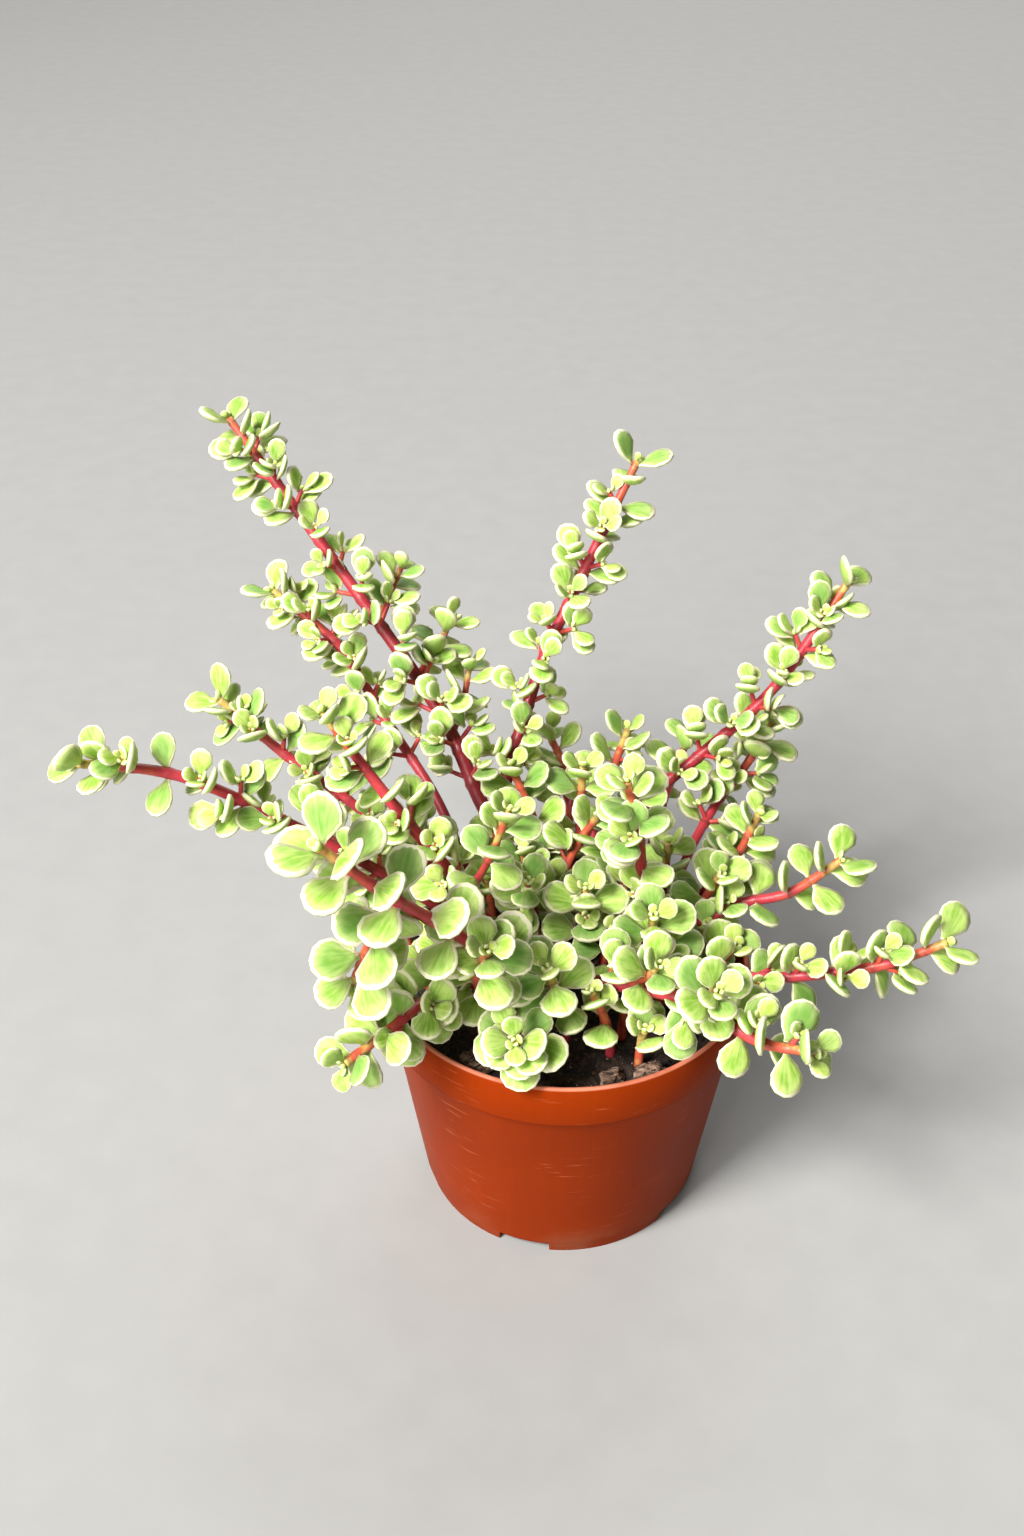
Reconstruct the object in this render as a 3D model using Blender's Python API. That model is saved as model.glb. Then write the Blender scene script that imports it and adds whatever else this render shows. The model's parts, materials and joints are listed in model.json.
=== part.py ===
"""A variegated elephant bush (Portulacaria afra) growing in a 12 cm nursery pot.

The pot is a turned shell with a notched foot. The soil fills it and holds
bark chips. Each rooted stem is one node: its stem, side shoots and leaves are
joined by one Boolean union, because they grew as one piece. Every size below
is in millimetres, and MM turns it into Blender's metres. The origin is on the
pot's axis, at the level of the surface that the pot stands on.
"""
import math
import random

import bmesh
import bpy
from mathutils import Vector
from mathutils.bvhtree import BVHTree
from mathutils.geometry import intersect_point_line

MM = 0.001

# The pot: an outline turned round its axis.
POT_HEIGHT = 88.0
RIM_RADIUS = 60.0
BAND_HEIGHT = 15.5
BAND_STEP = 2.1
WALL = 1.4
FOOT_RADIUS = 46.0
FOOT_HEIGHT = 4.6
FLOOR_HEIGHT = 4.0
FLOOR_THICKNESS = 1.4
PAD_RADIUS = 12.0
POT_SIDES = 32
NOTCHES = 5
NOTCH_WIDTH = 17.0
NOTCH_FIRST = math.radians(-106.5)
NOTCH_HEIGHT = 3.6
DRAIN_RADIUS = 3.6
DRAIN_CIRCLE = 33.0

# The soil: a plug that follows the pot's inside with a gap all round.
GAP = 0.35
SOIL_TOP = 79.5
SOIL_BUMP = 1.1
SOIL_SIDES = 24
CHIPS = 11
CHIP_SIZE = (5.0, 8.5)
CHIP_DEPTH = 5.0

# Chips that lie at the front of the pot. The others are strewn.
CHIP_PLACES = [(13, -48), (25, -45), (-28, -41), (46, -24), (35, -36)]

# How a stem stands in the soil, and how it ends.
STEM_FOOT = 68.0
STEM_COLLAR = 84.0
SHOOT_TIP_RADIUS = 1.25
ARM_TIP_RADIUS = 1.0
TIP_TAPER = 25.0

# How closely a stem's straight lengths follow its curve.
FINE_STEP = 2.0
STRAY = 0.4
LONGEST = 34.0

# The leaves.
LEAF_LENGTH = 13.6
LEAF_THICKNESS = 2.2
LEAF_NECK = 1.0
SMALL_LEAF = 14.6
CLEARANCE = 0.36
LEAF_NEAR = 4.0
OVER_SOIL = 4.0
OVER_RIM = 0.8
LIGHT = Vector((0.0, -0.55, 0.83)).normalized()

# How pairs of leaves follow each other down a stem. A young pair is short and
# stands upright, and the pairs farther down are long and spread.
GAP_GROWTH = 1.36
WIDEST_GAP = 12.5
ARM_GAP = 2.8
ARM_BARE = 5.0
GROWING_LENGTH = 15.0
UPRIGHT_LEAN = 46.0
WIDEST_LEAN = 78.0
LEAN_PER_MM = 3.0
YOUNGEST_AXIL = 16.0

# A leaf's half outline: shares of its length and of its half width.
LARGE_HALF = [(0.37, 0.62), (0.66, 1.0), (0.92, 0.64)]
SMALL_HALF = [(0.45, 0.80), (0.84, 0.84)]

# Where a leaf may move to, if its first place is taken: a tilt and a turn in
# degrees, and a scale.
TRIES = [(0, 0, 1.0), (12, 0, 1.0), (-14, 0, 1.0), (0, 22, 1.0), (0, -22, 1.0), (10, 0, 0.85),
         (-16, 18, 0.85), (-16, -18, 0.85), (16, 30, 0.8), (16, -30, 0.8), (0, 0, 0.7), (-26, 0, 0.7)]


def stem(root, path, girth, gap=3.2, leafy=60, bare=8, axils=0.2, size=1.0, width=0.84, arms=()):
    """One leafy stem, from the soil to its tip, in millimetres.

    root is where it leaves the soil, and path holds the points that it grows
    through. girth is its diameter at the soil. gap is the distance between
    its two youngest pairs of leaves. Its own leaves stay for leafy from the
    tip, and bare at the foot has lost all leaves. axils is the share of leaf
    axils that have shot. size and width are those of its leaves. arms are
    larger side shoots, from the place on the stem through their own points.
    """
    return {"root": root, "path": path, "girth": girth, "gap": gap, "leafy": leafy, "bare": bare,
            "axils": axils, "size": size, "width": width, "arms": arms}


STEMS = {
    "stem_tall_left": stem(
        (-12, 36), [(-18, 46, 96), (-28, 59, 108), (-42, 78, 132), (-75, 105, 171), (-115, 134, 217)],
        5.6, gap=6.0, leafy=45, bare=38, axils=0.5, size=0.92, width=0.76,
        arms=[[(-64, 96, 158), (-60, 104, 164), (-56, 111, 171)],
              [(-50, 85, 142), (-43, 98, 147), (-38, 108, 153)],
              [(-38, 73, 125), (-34, 86, 132), (-32, 97, 141)]]),
    "stem_tall_left_rear": stem(
        (-31, 36), [(-36, 47, 98), (-45, 64, 109), (-62, 84, 126), (-78, 98, 147), (-101, 109, 163)],
        3.6, gap=4.0, leafy=60, bare=44, axils=0.25, size=0.92, width=0.76),
    "stem_tall_middle": stem(
        (-20, 43), [(-24, 56, 97), (-19, 71, 109), (-7, 91, 143), (7, 104, 171), (26, 121, 207)],
        5.4, gap=6.5, leafy=45, bare=36, axils=0.75, size=0.92, width=0.76),
    "stem_right_rear": stem(
        (18, 44), [(24, 54, 97), (33, 64, 108), (48, 69, 120), (73, 78, 142), (97, 90, 177)],
        4.6, gap=6.5, leafy=45, bare=30, axils=0.8, size=0.92, width=0.76),
    "stem_right_rear_low": stem(
        (37, 32), [(43, 43, 96), (54, 62, 104), (66, 76, 112), (75, 84, 124)],
        3.2, bare=28, axils=0.3, size=0.95, width=0.8),
    "stem_long_left": stem(
        (-30, 9), [(-35, 8, 97), (-56, 5, 117), (-85, 3, 139), (-117, 2, 158), (-146, -4, 167)],
        3.8, gap=6.0, leafy=110, bare=32, axils=0.32, size=0.95, width=0.76),
    "stem_near_left": stem(
        (-14, -19), [(-14, -27, 98), (-18, -39, 117), (-33, -51, 141), (-51, -63, 165), (-67, -69, 185)],
        4.4, gap=4.6, leafy=110, bare=24, axils=0.0, size=1.16,
        arms=[[(-49, -61, 162), (-56, -61, 147), (-62, -60, 130)]]),
    "stem_upper_left": stem(
        (-34, 24), [(-38, 26, 96), (-47, 29, 107), (-72, 38, 124), (-92, 45, 137), (-113, 53, 153)],
        3.4, gap=4.0, leafy=90, bare=30, axils=0.3, size=0.92, width=0.8),
    "stem_inner_left": stem(
        (-18, 0),
        [(-22, 1, 97), (-31, 4, 109), (-40, 8, 122), (-51, 11, 136), (-66, 16, 157), (-75, 19, 170)],
        4.6, gap=3.2, leafy=60, bare=28, axils=0.25, size=0.92, width=0.84,
        arms=[[(-32, 4, 111), (-28, -3, 122), (-23, -7, 136), (-18, -6, 151)]]),
    "stem_middle_tiers": stem(
        (24, 8), [(25, 6, 100), (24, 5, 118), (22, 4, 138), (18, 5, 154)], 3.6, bare=14, axils=0.3),
    "stem_middle_low": stem(
        (-1, 30), [(0, 34, 93), (5, 39, 104), (12, 41, 115)], 2.8),
    "stem_middle_left": stem(
        (-9, 15), [(-10, 11, 99), (-12, 3, 117)], 2.8),
    "stem_middle_short": stem(
        (6, 4), [(6, 2, 100), (6, -2, 118)], 2.8),
    "stem_middle_right": stem(
        (25, -9), [(26, -12, 100), (26, -19, 121)], 2.8),
    "stem_trunk_front": stem(
        (-4, -8),
        [(-3, -15, 94), (4, -27, 102), (21, -37, 108), (39, -49, 112), (53, -64, 112), (68, -73, 116)],
        5.6, gap=3.4, leafy=60, bare=30, axils=0.3,
        arms=[[(35, -46, 111), (39, -54, 119), (41, -61, 128)],
              [(17, -35, 106), (23, -39, 114), (26, -43, 122)]]),
    "stem_long_right": stem(
        (36, -7), [(40, -13, 95), (52, -25, 102), (67, -30, 106), (93, -34, 114), (112, -34, 123)],
        3.4, gap=5.0, leafy=80, bare=22, axils=0.3, size=0.95, width=0.8),
    "stem_right": stem(
        (36, 7), [(39, 7, 93), (46, 6, 99), (57, 8, 104), (72, 7, 109), (87, 7, 122)],
        3.2, gap=4.4, bare=18, axils=0.5, size=0.95, width=0.84),
    "stem_right_short": stem(
        (45, 25), [(49, 27, 97), (58, 29, 108), (64, 32, 122)], 2.8, bare=12, axils=0.3, size=0.95),
    "stem_right_low": stem(
        (43, 16), [(46, 15, 99), (50, 10, 114)], 2.8),
    "stem_front": stem(
        (-12, -37), [(-13, -45, 95), (-16, -58, 106)], 2.8),
    "stem_front_left_tall": stem(
        (-26, -15), [(-27, -28, 100), (-27, -45, 120), (-24, -56, 139)], 2.8, bare=10),
    "stem_front_middle": stem(
        (0, -30), [(-2, -34, 98), (-7, -42, 120)], 2.8),
    "stem_over_rim": stem(
        (-35, -13), [(-37, -22, 96), (-42, -39, 106), (-51, -53, 108), (-65, -66, 105)],
        3.0, gap=3.2, bare=20, axils=0.2),
    "stem_rear_left": stem(
        (2, 47), [(3, 60, 95), (3, 84, 101), (-4, 99, 110)], 2.8, leafy=26, bare=22, size=0.95, axils=0.0),
    "stem_rear_middle": stem(
        (10, 48), [(12, 60, 96), (18, 79, 104), (25, 96, 113)], 2.8, leafy=26, bare=22, size=0.95, axils=0.0),
    "stem_rear_right": stem(
        (27, 39), [(32, 54, 95), (39, 78, 101), (48, 98, 110)], 2.8, leafy=26, bare=22, size=0.95, axils=0.0),
}


# ---------------------------------------------------------------- growth

class Shoot:
    """A curved stem or side shoot: its centre line, its girth and its pairs."""

    def __init__(self, points, foot_radius, tip_radius):
        self.points = smooth_line(points)
        self.foot_radius = foot_radius
        self.tip_radius = tip_radius
        self.marks = [0.0]
        for a, b in zip(self.points, self.points[1:]):
            self.marks.append(self.marks[-1] + (b - a).length)
        self.length = self.marks[-1]

    def at(self, distance):
        """The point and the direction at a distance from the foot."""
        distance = min(max(distance, 0.0), self.length)
        index = 0
        while index < len(self.marks) - 2 and self.marks[index + 1] < distance:
            index += 1
        a, b = self.points[index], self.points[index + 1]
        part = (distance - self.marks[index]) / (self.marks[index + 1] - self.marks[index])
        return a.lerp(b, part), (b - a).normalized()

    def radius(self, distance):
        """The girth tapers slowly, and faster near the tip."""
        whole = distance / self.length
        near_tip = max(0.0, 1.0 - (self.length - distance) / TIP_TAPER)
        slow = self.foot_radius + (self.tip_radius * 1.35 - self.foot_radius) * whole
        return max(slow * (1.0 - near_tip) + self.tip_radius * near_tip, self.tip_radius)


class Leaf:
    """One leaf: where it is held, its blade's root, its directions and size."""

    def __init__(self, held, root, along, normal, length, width):
        self.held = held
        self.root = root
        self.width = width
        self.along = along
        self.side = along.cross(normal).normalized()
        self.normal = self.side.cross(along).normalized()
        self.length = length
        self.centre = (held + root + along * length) / 2
        self.reach = (root + along * length - held).length / 2 + LEAF_NEAR

    def point(self, along, side, up):
        """A point of the leaf, from shares of its length and from its lift."""
        return self.root + self.along * along + self.side * side + self.normal * up


def smooth_line(points):
    """Points on a smooth curve through the given ones, close where it bends.

    The first length, which stands in the soil or in the stem, is straight.
    """
    points = [Vector(p) for p in points]
    ends = points + [points[-1] * 2 - points[-2]]
    line = [points[1]]
    for index in range(len(points) - 2):
        p0, p1, p2, p3 = ends[index:index + 4]
        count = max(1, round((p2 - p1).length / FINE_STEP))
        for k in range(1, count + 1):
            t = k / count
            line.append(0.5 * (2 * p1 + (p2 - p0) * t + (2 * p0 - 5 * p1 + 4 * p2 - p3) * t * t
                               + (3 * p1 - p0 - 3 * p2 + p3) * t * t * t))
    return [points[0]] + thinned(line)


def thinned(line):
    """Drops the points of a line that its chords pass closely enough."""
    kept = [0]
    for index in range(2, len(line)):
        start, end = line[kept[-1]], line[index]
        way = (end - start).normalized()
        strays = [(p - start - way * (p - start).dot(way)).length for p in line[kept[-1] + 1:index]]
        if max(strays) > STRAY or (end - start).length > LONGEST:
            kept.append(index - 1)
    kept.append(len(line) - 1)
    return [line[index] for index in kept]


def leaf_mesh(leaf, grow=0.0):
    """A leaf's points and triangles. grow makes it that much thicker all over.

    The points go round the edge from the root, and the last one is the keel
    of the fleshy underside. The edge near the root is low, so the upper face
    is a shallow cup, and the root is a three-sided spike.
    """
    length = leaf.length
    width = length * leaf.width / 2
    thick = LEAF_THICKNESS * min(1.0, 0.5 + 0.5 * length / LEAF_LENGTH)
    half = SMALL_HALF if length < SMALL_LEAF else LARGE_HALF
    lift = 0.03 * length + grow
    out = 2.4 * grow
    points = [leaf.held - (leaf.point(0.5 * length, 0, 0) - leaf.held).normalized() * grow]
    points += [leaf.point(a * length, -s * width - out, lift) for a, s in half]
    points += [leaf.point(length + out, 0, lift * 1.3)]
    points += [leaf.point(a * length, s * width + out, lift) for a, s in reversed(half)]
    count = len(points)
    points.append(leaf.point(0.55 * length, 0, -thick - grow))
    tip = count // 2
    faces = [(1, 0, count - 1), (tip, tip - 1, tip + 1)]
    for k in range(1, tip - 1):
        faces += [(k + 1, k, count - k), (count - k - 1, k + 1, count - k)]
    faces += [(k, (k + 1) % count, count) for k in range(count)]
    return points, faces


def blade_mesh(leaf):
    """A blade without the narrow root, for tests in its own node."""
    points, faces = leaf_mesh(leaf)
    return [leaf.point(0.22 * leaf.length, 0, 0)] + points[1:], faces


def tube_mesh(line, radii, sides):
    """A closed tube round a line, with a pointed cap at each end."""
    points = []
    faces = []
    direction = (line[1] - line[0]).normalized()
    across = direction.orthogonal().normalized()
    for index, centre in enumerate(line):
        before = line[max(index - 1, 0)]
        after = line[min(index + 1, len(line) - 1)]
        direction = (after - before).normalized()
        across = (across - direction * across.dot(direction)).normalized()
        up = direction.cross(across)
        for k in range(sides):
            turn = 2 * math.pi * k / sides
            points.append(centre + (across * math.cos(turn) + up * math.sin(turn)) * radii[index])
    for index in range(len(line) - 1):
        for k in range(sides):
            a = index * sides + k
            b = index * sides + (k + 1) % sides
            faces.append((a, b, b + sides, a + sides))
    foot = len(points)
    points.append(line[0] - (line[1] - line[0]).normalized() * radii[0] * 0.3)
    points.append(line[-1] + (line[-1] - line[-2]).normalized() * radii[-1] * 0.9)
    last = (len(line) - 1) * sides
    for k in range(sides):
        faces.append(((k + 1) % sides, k, foot))
        faces.append((last + k, last + (k + 1) % sides, foot + 1))
    return points, faces


def meets(first, second):
    """Whether two meshes cross."""
    return bool(BVHTree.FromPolygons(*first).overlap(BVHTree.FromPolygons(*second)))


def clear_of_pot(leaf):
    """Whether a leaf stays off the soil, the rim and the pot's wall."""
    points, _ = leaf_mesh(leaf, 0.6)
    middles = [(points[k] + points[(k + 1) % (len(points) - 2)]) / 2 for k in range(len(points) - 2)]
    for point in points[1:] + middles[1:-1]:
        radius = math.hypot(point.x, point.y)
        inside = radius < RIM_RADIUS - 2.5
        if inside and point.z < SOIL_TOP + OVER_SOIL:
            return False
        if not inside and radius < RIM_RADIUS + OVER_RIM and point.z < POT_HEIGHT + OVER_RIM:
            return False
    return True


class Plant:
    """Every stem of the plant, with the leaves placed so far."""

    def __init__(self):
        self.shoots = {}
        self.leaves = {}

    def add_stems(self):
        """Lays every stem's and every side shoot's centre line."""
        for name, plan in STEMS.items():
            x, y = plan["root"]
            route = [(x, y, STEM_FOOT), (x, y, STEM_COLLAR)] + plan["path"]
            self.shoots[name] = [Shoot(route, plan["girth"] / 2, SHOOT_TIP_RADIUS)]
            self.leaves[name] = []
            for arm in plan["arms"]:
                self.shoots[name].append(Shoot(arm, SHOOT_TIP_RADIUS, ARM_TIP_RADIUS))

    def clear(self, name, leaf, own_shoot):
        """Whether a leaf misses all other nodes and its own node's blades."""
        if not clear_of_pot(leaf):
            return False
        grown = leaf_mesh(leaf, CLEARANCE)
        blade = blade_mesh(leaf)
        for other, leaves in self.leaves.items():
            for placed in leaves:
                if (placed.centre - leaf.centre).length > placed.reach + leaf.reach:
                    continue
                if other == name and meets(blade, blade_mesh(placed)):
                    return False
                if other != name and meets(grown, leaf_mesh(placed)):
                    return False
        for other, shoots in self.shoots.items():
            for shoot in shoots:
                if shoot is not own_shoot and near_line(leaf, shoot):
                    if meets(blade if other == name else grown, shoot_mesh(shoot)):
                        return False
        return True

    def try_leaf(self, name, shoot, held, direction, spoke, lean, length, stalk=0.0):
        """Places one leaf, turned or shrunk where its first place is taken.

        It leaves the direction by lean degrees, towards the spoke, and its
        upper side turns from that direction towards the light. A stalk along
        the direction carries the blade away from where the leaf is held.
        """
        across = direction.cross(spoke)
        for tilt, turn, scale in TRIES:
            angle = math.radians(lean + tilt)
            radial = spoke * math.cos(math.radians(turn)) + across * math.sin(math.radians(turn))
            along = (direction * math.cos(angle) + radial * math.sin(angle) + LIGHT * 0.12).normalized()
            facing = (direction - along * direction.dot(along)).normalized()
            to_light = LIGHT - along * LIGHT.dot(along)
            normal = (facing * 0.45 + to_light * 0.85).normalized()
            root = held + along * LEAF_NECK + direction * stalk
            leaf = Leaf(held - radial * 0.25, root, along, normal, length * scale, STEMS[name]["width"])
            if self.clear(name, leaf, shoot):
                self.leaves[name].append(leaf)
                return

    def grow_pairs(self, name, shoot, rng, gap, bare, leafy):
        """Opposite leaves from the tip down, each pair a quarter turn on."""
        axils = []
        behind = gap * 0.35
        turn = rng.uniform(0, math.pi)
        youngest = 0.56 if gap < 3.5 else 0.92
        while shoot.length - behind > bare:
            root, direction = shoot.at(shoot.length - behind)
            side = direction.cross(LIGHT).normalized()
            over = side.cross(direction)
            grown = min(1.0, youngest + behind / GROWING_LENGTH)
            lean = min(WIDEST_LEAN, UPRIGHT_LEAN + behind * LEAN_PER_MM)
            for half in range(2):
                azimuth = turn + math.pi * half + rng.uniform(-0.2, 0.2)
                spoke = side * math.cos(azimuth) + over * math.sin(azimuth)
                length = LEAF_LENGTH * STEMS[name]["size"] * grown * rng.uniform(0.92, 1.08)
                tilt = lean + rng.uniform(-7, 7)
                if behind < leafy:
                    self.try_leaf(name, shoot, root, direction, spoke, tilt, length)
                axils.append((behind, root, direction, spoke))
            turn += math.pi / 2 + rng.uniform(-0.15, 0.15)
            behind += gap
            gap = min(gap * GAP_GROWTH, WIDEST_GAP)
        return axils

    def grow_axils(self, name, shoot, rng, axils):
        """Short shoots in the axils of the older leaves, each with a pair."""
        for behind, root, direction, spoke in axils:
            draw = rng.random()
            spin = rng.uniform(0, math.pi)
            if behind < YOUNGEST_AXIL or draw > STEMS[name]["axils"]:
                continue
            heading = (direction * 0.35 + spoke * 0.85 + LIGHT * 0.6).normalized()
            side = heading.cross(direction).normalized()
            over = side.cross(heading)
            base = root + direction * 2.0 + spoke * shoot.radius(shoot.length - behind) * 0.3
            stalk = min(3.0 + behind * 0.03, 6.0)
            for half in range(2):
                azimuth = spin + math.pi * half
                outward = side * math.cos(azimuth) + over * math.sin(azimuth)
                length = LEAF_LENGTH * STEMS[name]["size"] * rng.uniform(0.86, 1.0)
                self.try_leaf(name, shoot, base, heading, outward, 58.0, length, stalk)


def shoot_mesh(shoot):
    """A shoot's tube, as points and faces."""
    radii = [shoot.radius(mark) for mark in shoot.marks]
    return tube_mesh(shoot.points, radii, stem_sides(shoot.foot_radius))


def stem_sides(radius):
    """How many flat sides a tube of this radius gets."""
    return 6 if radius > 2.0 else 5


def near_line(leaf, shoot):
    """Whether any length of a shoot's line is near a leaf."""
    for start, end in zip(shoot.points, shoot.points[1:]):
        nearest, share = intersect_point_line(leaf.centre, start, end)
        nearest = start if share < 0 else end if share > 1 else nearest
        if (nearest - leaf.centre).length < leaf.reach + LEAF_NEAR:
            return True
    return False


def grow_plant():
    """Grows the whole plant. The stems nearest the front choose first."""
    plant = Plant()
    plant.add_stems()
    order = sorted(STEMS, key=lambda name: plant.shoots[name][0].points[-1].y)
    draws = {name: random.Random(sum(map(ord, name))) for name in order}
    axils = {}
    for name in order:
        main, *arms = plant.shoots[name]
        gap, bare, leafy = (STEMS[name][key] for key in ("gap", "bare", "leafy"))
        axils[name] = plant.grow_pairs(name, main, draws[name], gap, bare + STEM_COLLAR - STEM_FOOT, leafy)
        for arm in arms:
            plant.grow_pairs(name, arm, draws[name], ARM_GAP, ARM_BARE, arm.length)
    for name in order:
        plant.grow_axils(name, plant.shoots[name][0], draws[name], axils[name])
    return plant


# ---------------------------------------------------------------- solids

def clear_scene():
    """Removes whatever the scene holds."""
    for old in list(bpy.data.objects):
        bpy.data.objects.remove(old, do_unlink=True)


def material(name, colour, roughness):
    """A Principled material for one kind of piece."""
    made = bpy.data.materials.new(name)
    made.use_nodes = True
    shader = made.node_tree.nodes["Principled BSDF"]
    shader.inputs["Base Color"].default_value = (*colour, 1.0)
    shader.inputs["Roughness"].default_value = roughness
    shader.inputs["Metallic"].default_value = 0.0
    return made


def add_object(name, points, faces, finish=None, collection=None):
    """An object from points in millimetres and faces."""
    mesh = bpy.data.meshes.new(name)
    mesh.from_pydata([Vector(p) * MM for p in points], [], faces)
    mesh.validate()
    if finish:
        mesh.materials.append(finish)
    made = bpy.data.objects.new(name, mesh)
    (collection or bpy.context.scene.collection).objects.link(made)
    return made


def apply_boolean(target, operation, other=None, group=None):
    """Applies one Boolean with an object or with a collection."""
    cut = target.modifiers.new(operation.lower(), "BOOLEAN")
    cut.operation = operation
    cut.solver = "EXACT"
    if group:
        cut.operand_type = "COLLECTION"
        cut.collection = group
    else:
        cut.object = other
    bpy.context.view_layer.update()
    result = bpy.data.meshes.new_from_object(target.evaluated_get(bpy.context.evaluated_depsgraph_get()))
    target.modifiers.remove(cut)
    target.data = result


def join_collection(target, pieces):
    """Unites an object with a collection of pieces, then removes them."""
    group = new_group(target.name + "_repeats", pieces)
    apply_boolean(target, "UNION", group=group)
    remove_group(group)


def new_group(name, pieces):
    """A collection that holds each of the pieces as an object."""
    group = bpy.data.collections.new(name)
    bpy.context.scene.collection.children.link(group)
    for index, (points, faces) in enumerate(pieces):
        add_object(f"{name}_{index}", points, faces, collection=group)
    return group


def remove_group(group):
    """Removes a collection with the objects in it."""
    for piece in list(group.objects):
        bpy.data.objects.remove(piece, do_unlink=True)
    bpy.data.collections.remove(group)


def keep_largest_body(target):
    """Drops loose scraps, and fills each hollow that the joining sealed."""
    bm = bmesh.new()
    bm.from_mesh(target.data)
    bmesh.ops.triangulate(bm, faces=bm.faces)
    loose = set(bm.verts)
    bodies = []
    while loose:
        edge = [loose.pop()]
        body = set(edge)
        while edge:
            for link in edge.pop().link_edges:
                for vert in link.verts:
                    if vert not in body:
                        body.add(vert)
                        loose.discard(vert)
                        edge.append(vert)
        bodies.append(body)
    bodies.sort(key=len, reverse=True)
    scraps = [vert for body in bodies[1:] for vert in body]
    bmesh.ops.delete(bm, geom=scraps, context="VERTS")
    bm.to_mesh(target.data)
    bm.free()


def make_stem(name, plant, finish):
    """One rooted stem with its side shoots and leaves, as one solid."""
    main = plant.shoots[name][0]
    branch = add_object(name, *shoot_mesh(main), finish)
    pieces = [shoot_mesh(arm) for arm in plant.shoots[name][1:]]
    pieces += [leaf_mesh(leaf) for leaf in plant.leaves[name]]
    join_collection(branch, pieces)
    keep_largest_body(branch)
    print(name, "leaves", len(plant.leaves[name]), "triangles", len(branch.data.polygons))


def turned_shell(name, outline, sides, finish):
    """Turns a closed outline of (radius, height) round the vertical axis."""
    bm = bmesh.new()
    verts = [bm.verts.new((r * MM, 0, z * MM)) for r, z in outline]
    edges = [bm.edges.new(pair) for pair in zip(verts, verts[1:])]
    bmesh.ops.spin(bm, geom=verts + edges, axis=(0, 0, 1), cent=(0, 0, 0), steps=sides,
                   angle=2 * math.pi, use_merge=True)
    bmesh.ops.remove_doubles(bm, verts=bm.verts, dist=0.00001)
    bmesh.ops.recalc_face_normals(bm, faces=bm.faces)
    mesh = bpy.data.meshes.new(name)
    bm.to_mesh(mesh)
    bm.free()
    mesh.materials.append(finish)
    made = bpy.data.objects.new(name, mesh)
    bpy.context.scene.collection.objects.link(made)
    return made


def body_radius(height):
    """The pot's outer radius between the foot and the rim band."""
    low = FOOT_RADIUS + 1.4
    high = RIM_RADIUS - 0.5 - BAND_STEP
    share = (height - FOOT_HEIGHT) / (POT_HEIGHT - BAND_HEIGHT - FOOT_HEIGHT)
    return low + (high - low) * share


def pot_inside(height):
    """The pot's inner radius at a height."""
    if height > POT_HEIGHT - BAND_HEIGHT + 0.8:
        return RIM_RADIUS - 0.6 - WALL
    return body_radius(height) - WALL


def make_pot(finish):
    """The pot: a turned shell, with foot notches and drain holes cut in it."""
    band = POT_HEIGHT - BAND_HEIGHT
    inner_floor = FLOOR_HEIGHT + FLOOR_THICKNESS
    foot_inside = FOOT_RADIUS - WALL
    outline = [
        (0, 0), (PAD_RADIUS, 0), (PAD_RADIUS + 1.2, FLOOR_HEIGHT), (foot_inside - 0.8, FLOOR_HEIGHT),
        (foot_inside, 0), (FOOT_RADIUS, 0), (FOOT_RADIUS + 0.7, FOOT_HEIGHT),
        (body_radius(FOOT_HEIGHT), FOOT_HEIGHT + 0.6), (body_radius(band), band - 0.4),
        (RIM_RADIUS - 0.5, band), (RIM_RADIUS, POT_HEIGHT - 1.2), (RIM_RADIUS - 0.9, POT_HEIGHT),
        (pot_inside(POT_HEIGHT), POT_HEIGHT - 0.8), (pot_inside(band + 1.0), band + 1.0),
        (pot_inside(band - 1.0), band - 1.0), (pot_inside(inner_floor), inner_floor), (0, inner_floor)]
    pot = turned_shell("pot", outline, POT_SIDES, finish)
    for index in range(NOTCHES):
        turn = NOTCH_FIRST + 2 * math.pi * index / NOTCHES
        cut_notch(pot, turn)
        cut_drain(pot, turn)


def cut_notch(target, turn):
    """Cuts a notch through the foot, from the ground up."""
    place = (math.cos(turn) * FOOT_RADIUS * MM, math.sin(turn) * FOOT_RADIUS * MM, 0)
    size = (0.014, NOTCH_WIDTH * MM, 2 * NOTCH_HEIGHT * MM)
    bpy.ops.mesh.primitive_cube_add(size=1, location=place, rotation=(0, 0, turn), scale=size)
    cut_with(target, bpy.context.object)


def cut_drain(target, turn):
    """Cuts a round drain hole through the floor."""
    place = (math.cos(turn) * DRAIN_CIRCLE * MM, math.sin(turn) * DRAIN_CIRCLE * MM, FOOT_HEIGHT * MM)
    bpy.ops.mesh.primitive_cylinder_add(vertices=8, radius=DRAIN_RADIUS * MM, depth=0.006, location=place)
    cut_with(target, bpy.context.object)


def cut_with(target, cutter):
    """Subtracts a cutter and removes it."""
    cutter.hide_render = True
    cutter.display_type = "WIRE"
    apply_boolean(target, "DIFFERENCE", other=cutter)
    bpy.data.objects.remove(cutter, do_unlink=True)


def soil_height(x, y):
    """The soil's uneven top."""
    waves = math.sin(x * 0.16 + 0.7) + math.sin(y * 0.19 + 2.1) + math.sin((x + y) * 0.11) * 0.8
    return SOIL_TOP + SOIL_BUMP * waves / 2.8 * min(1.0, (58.5 - math.hypot(x, y)) / 14.0 + 0.25)


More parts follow.
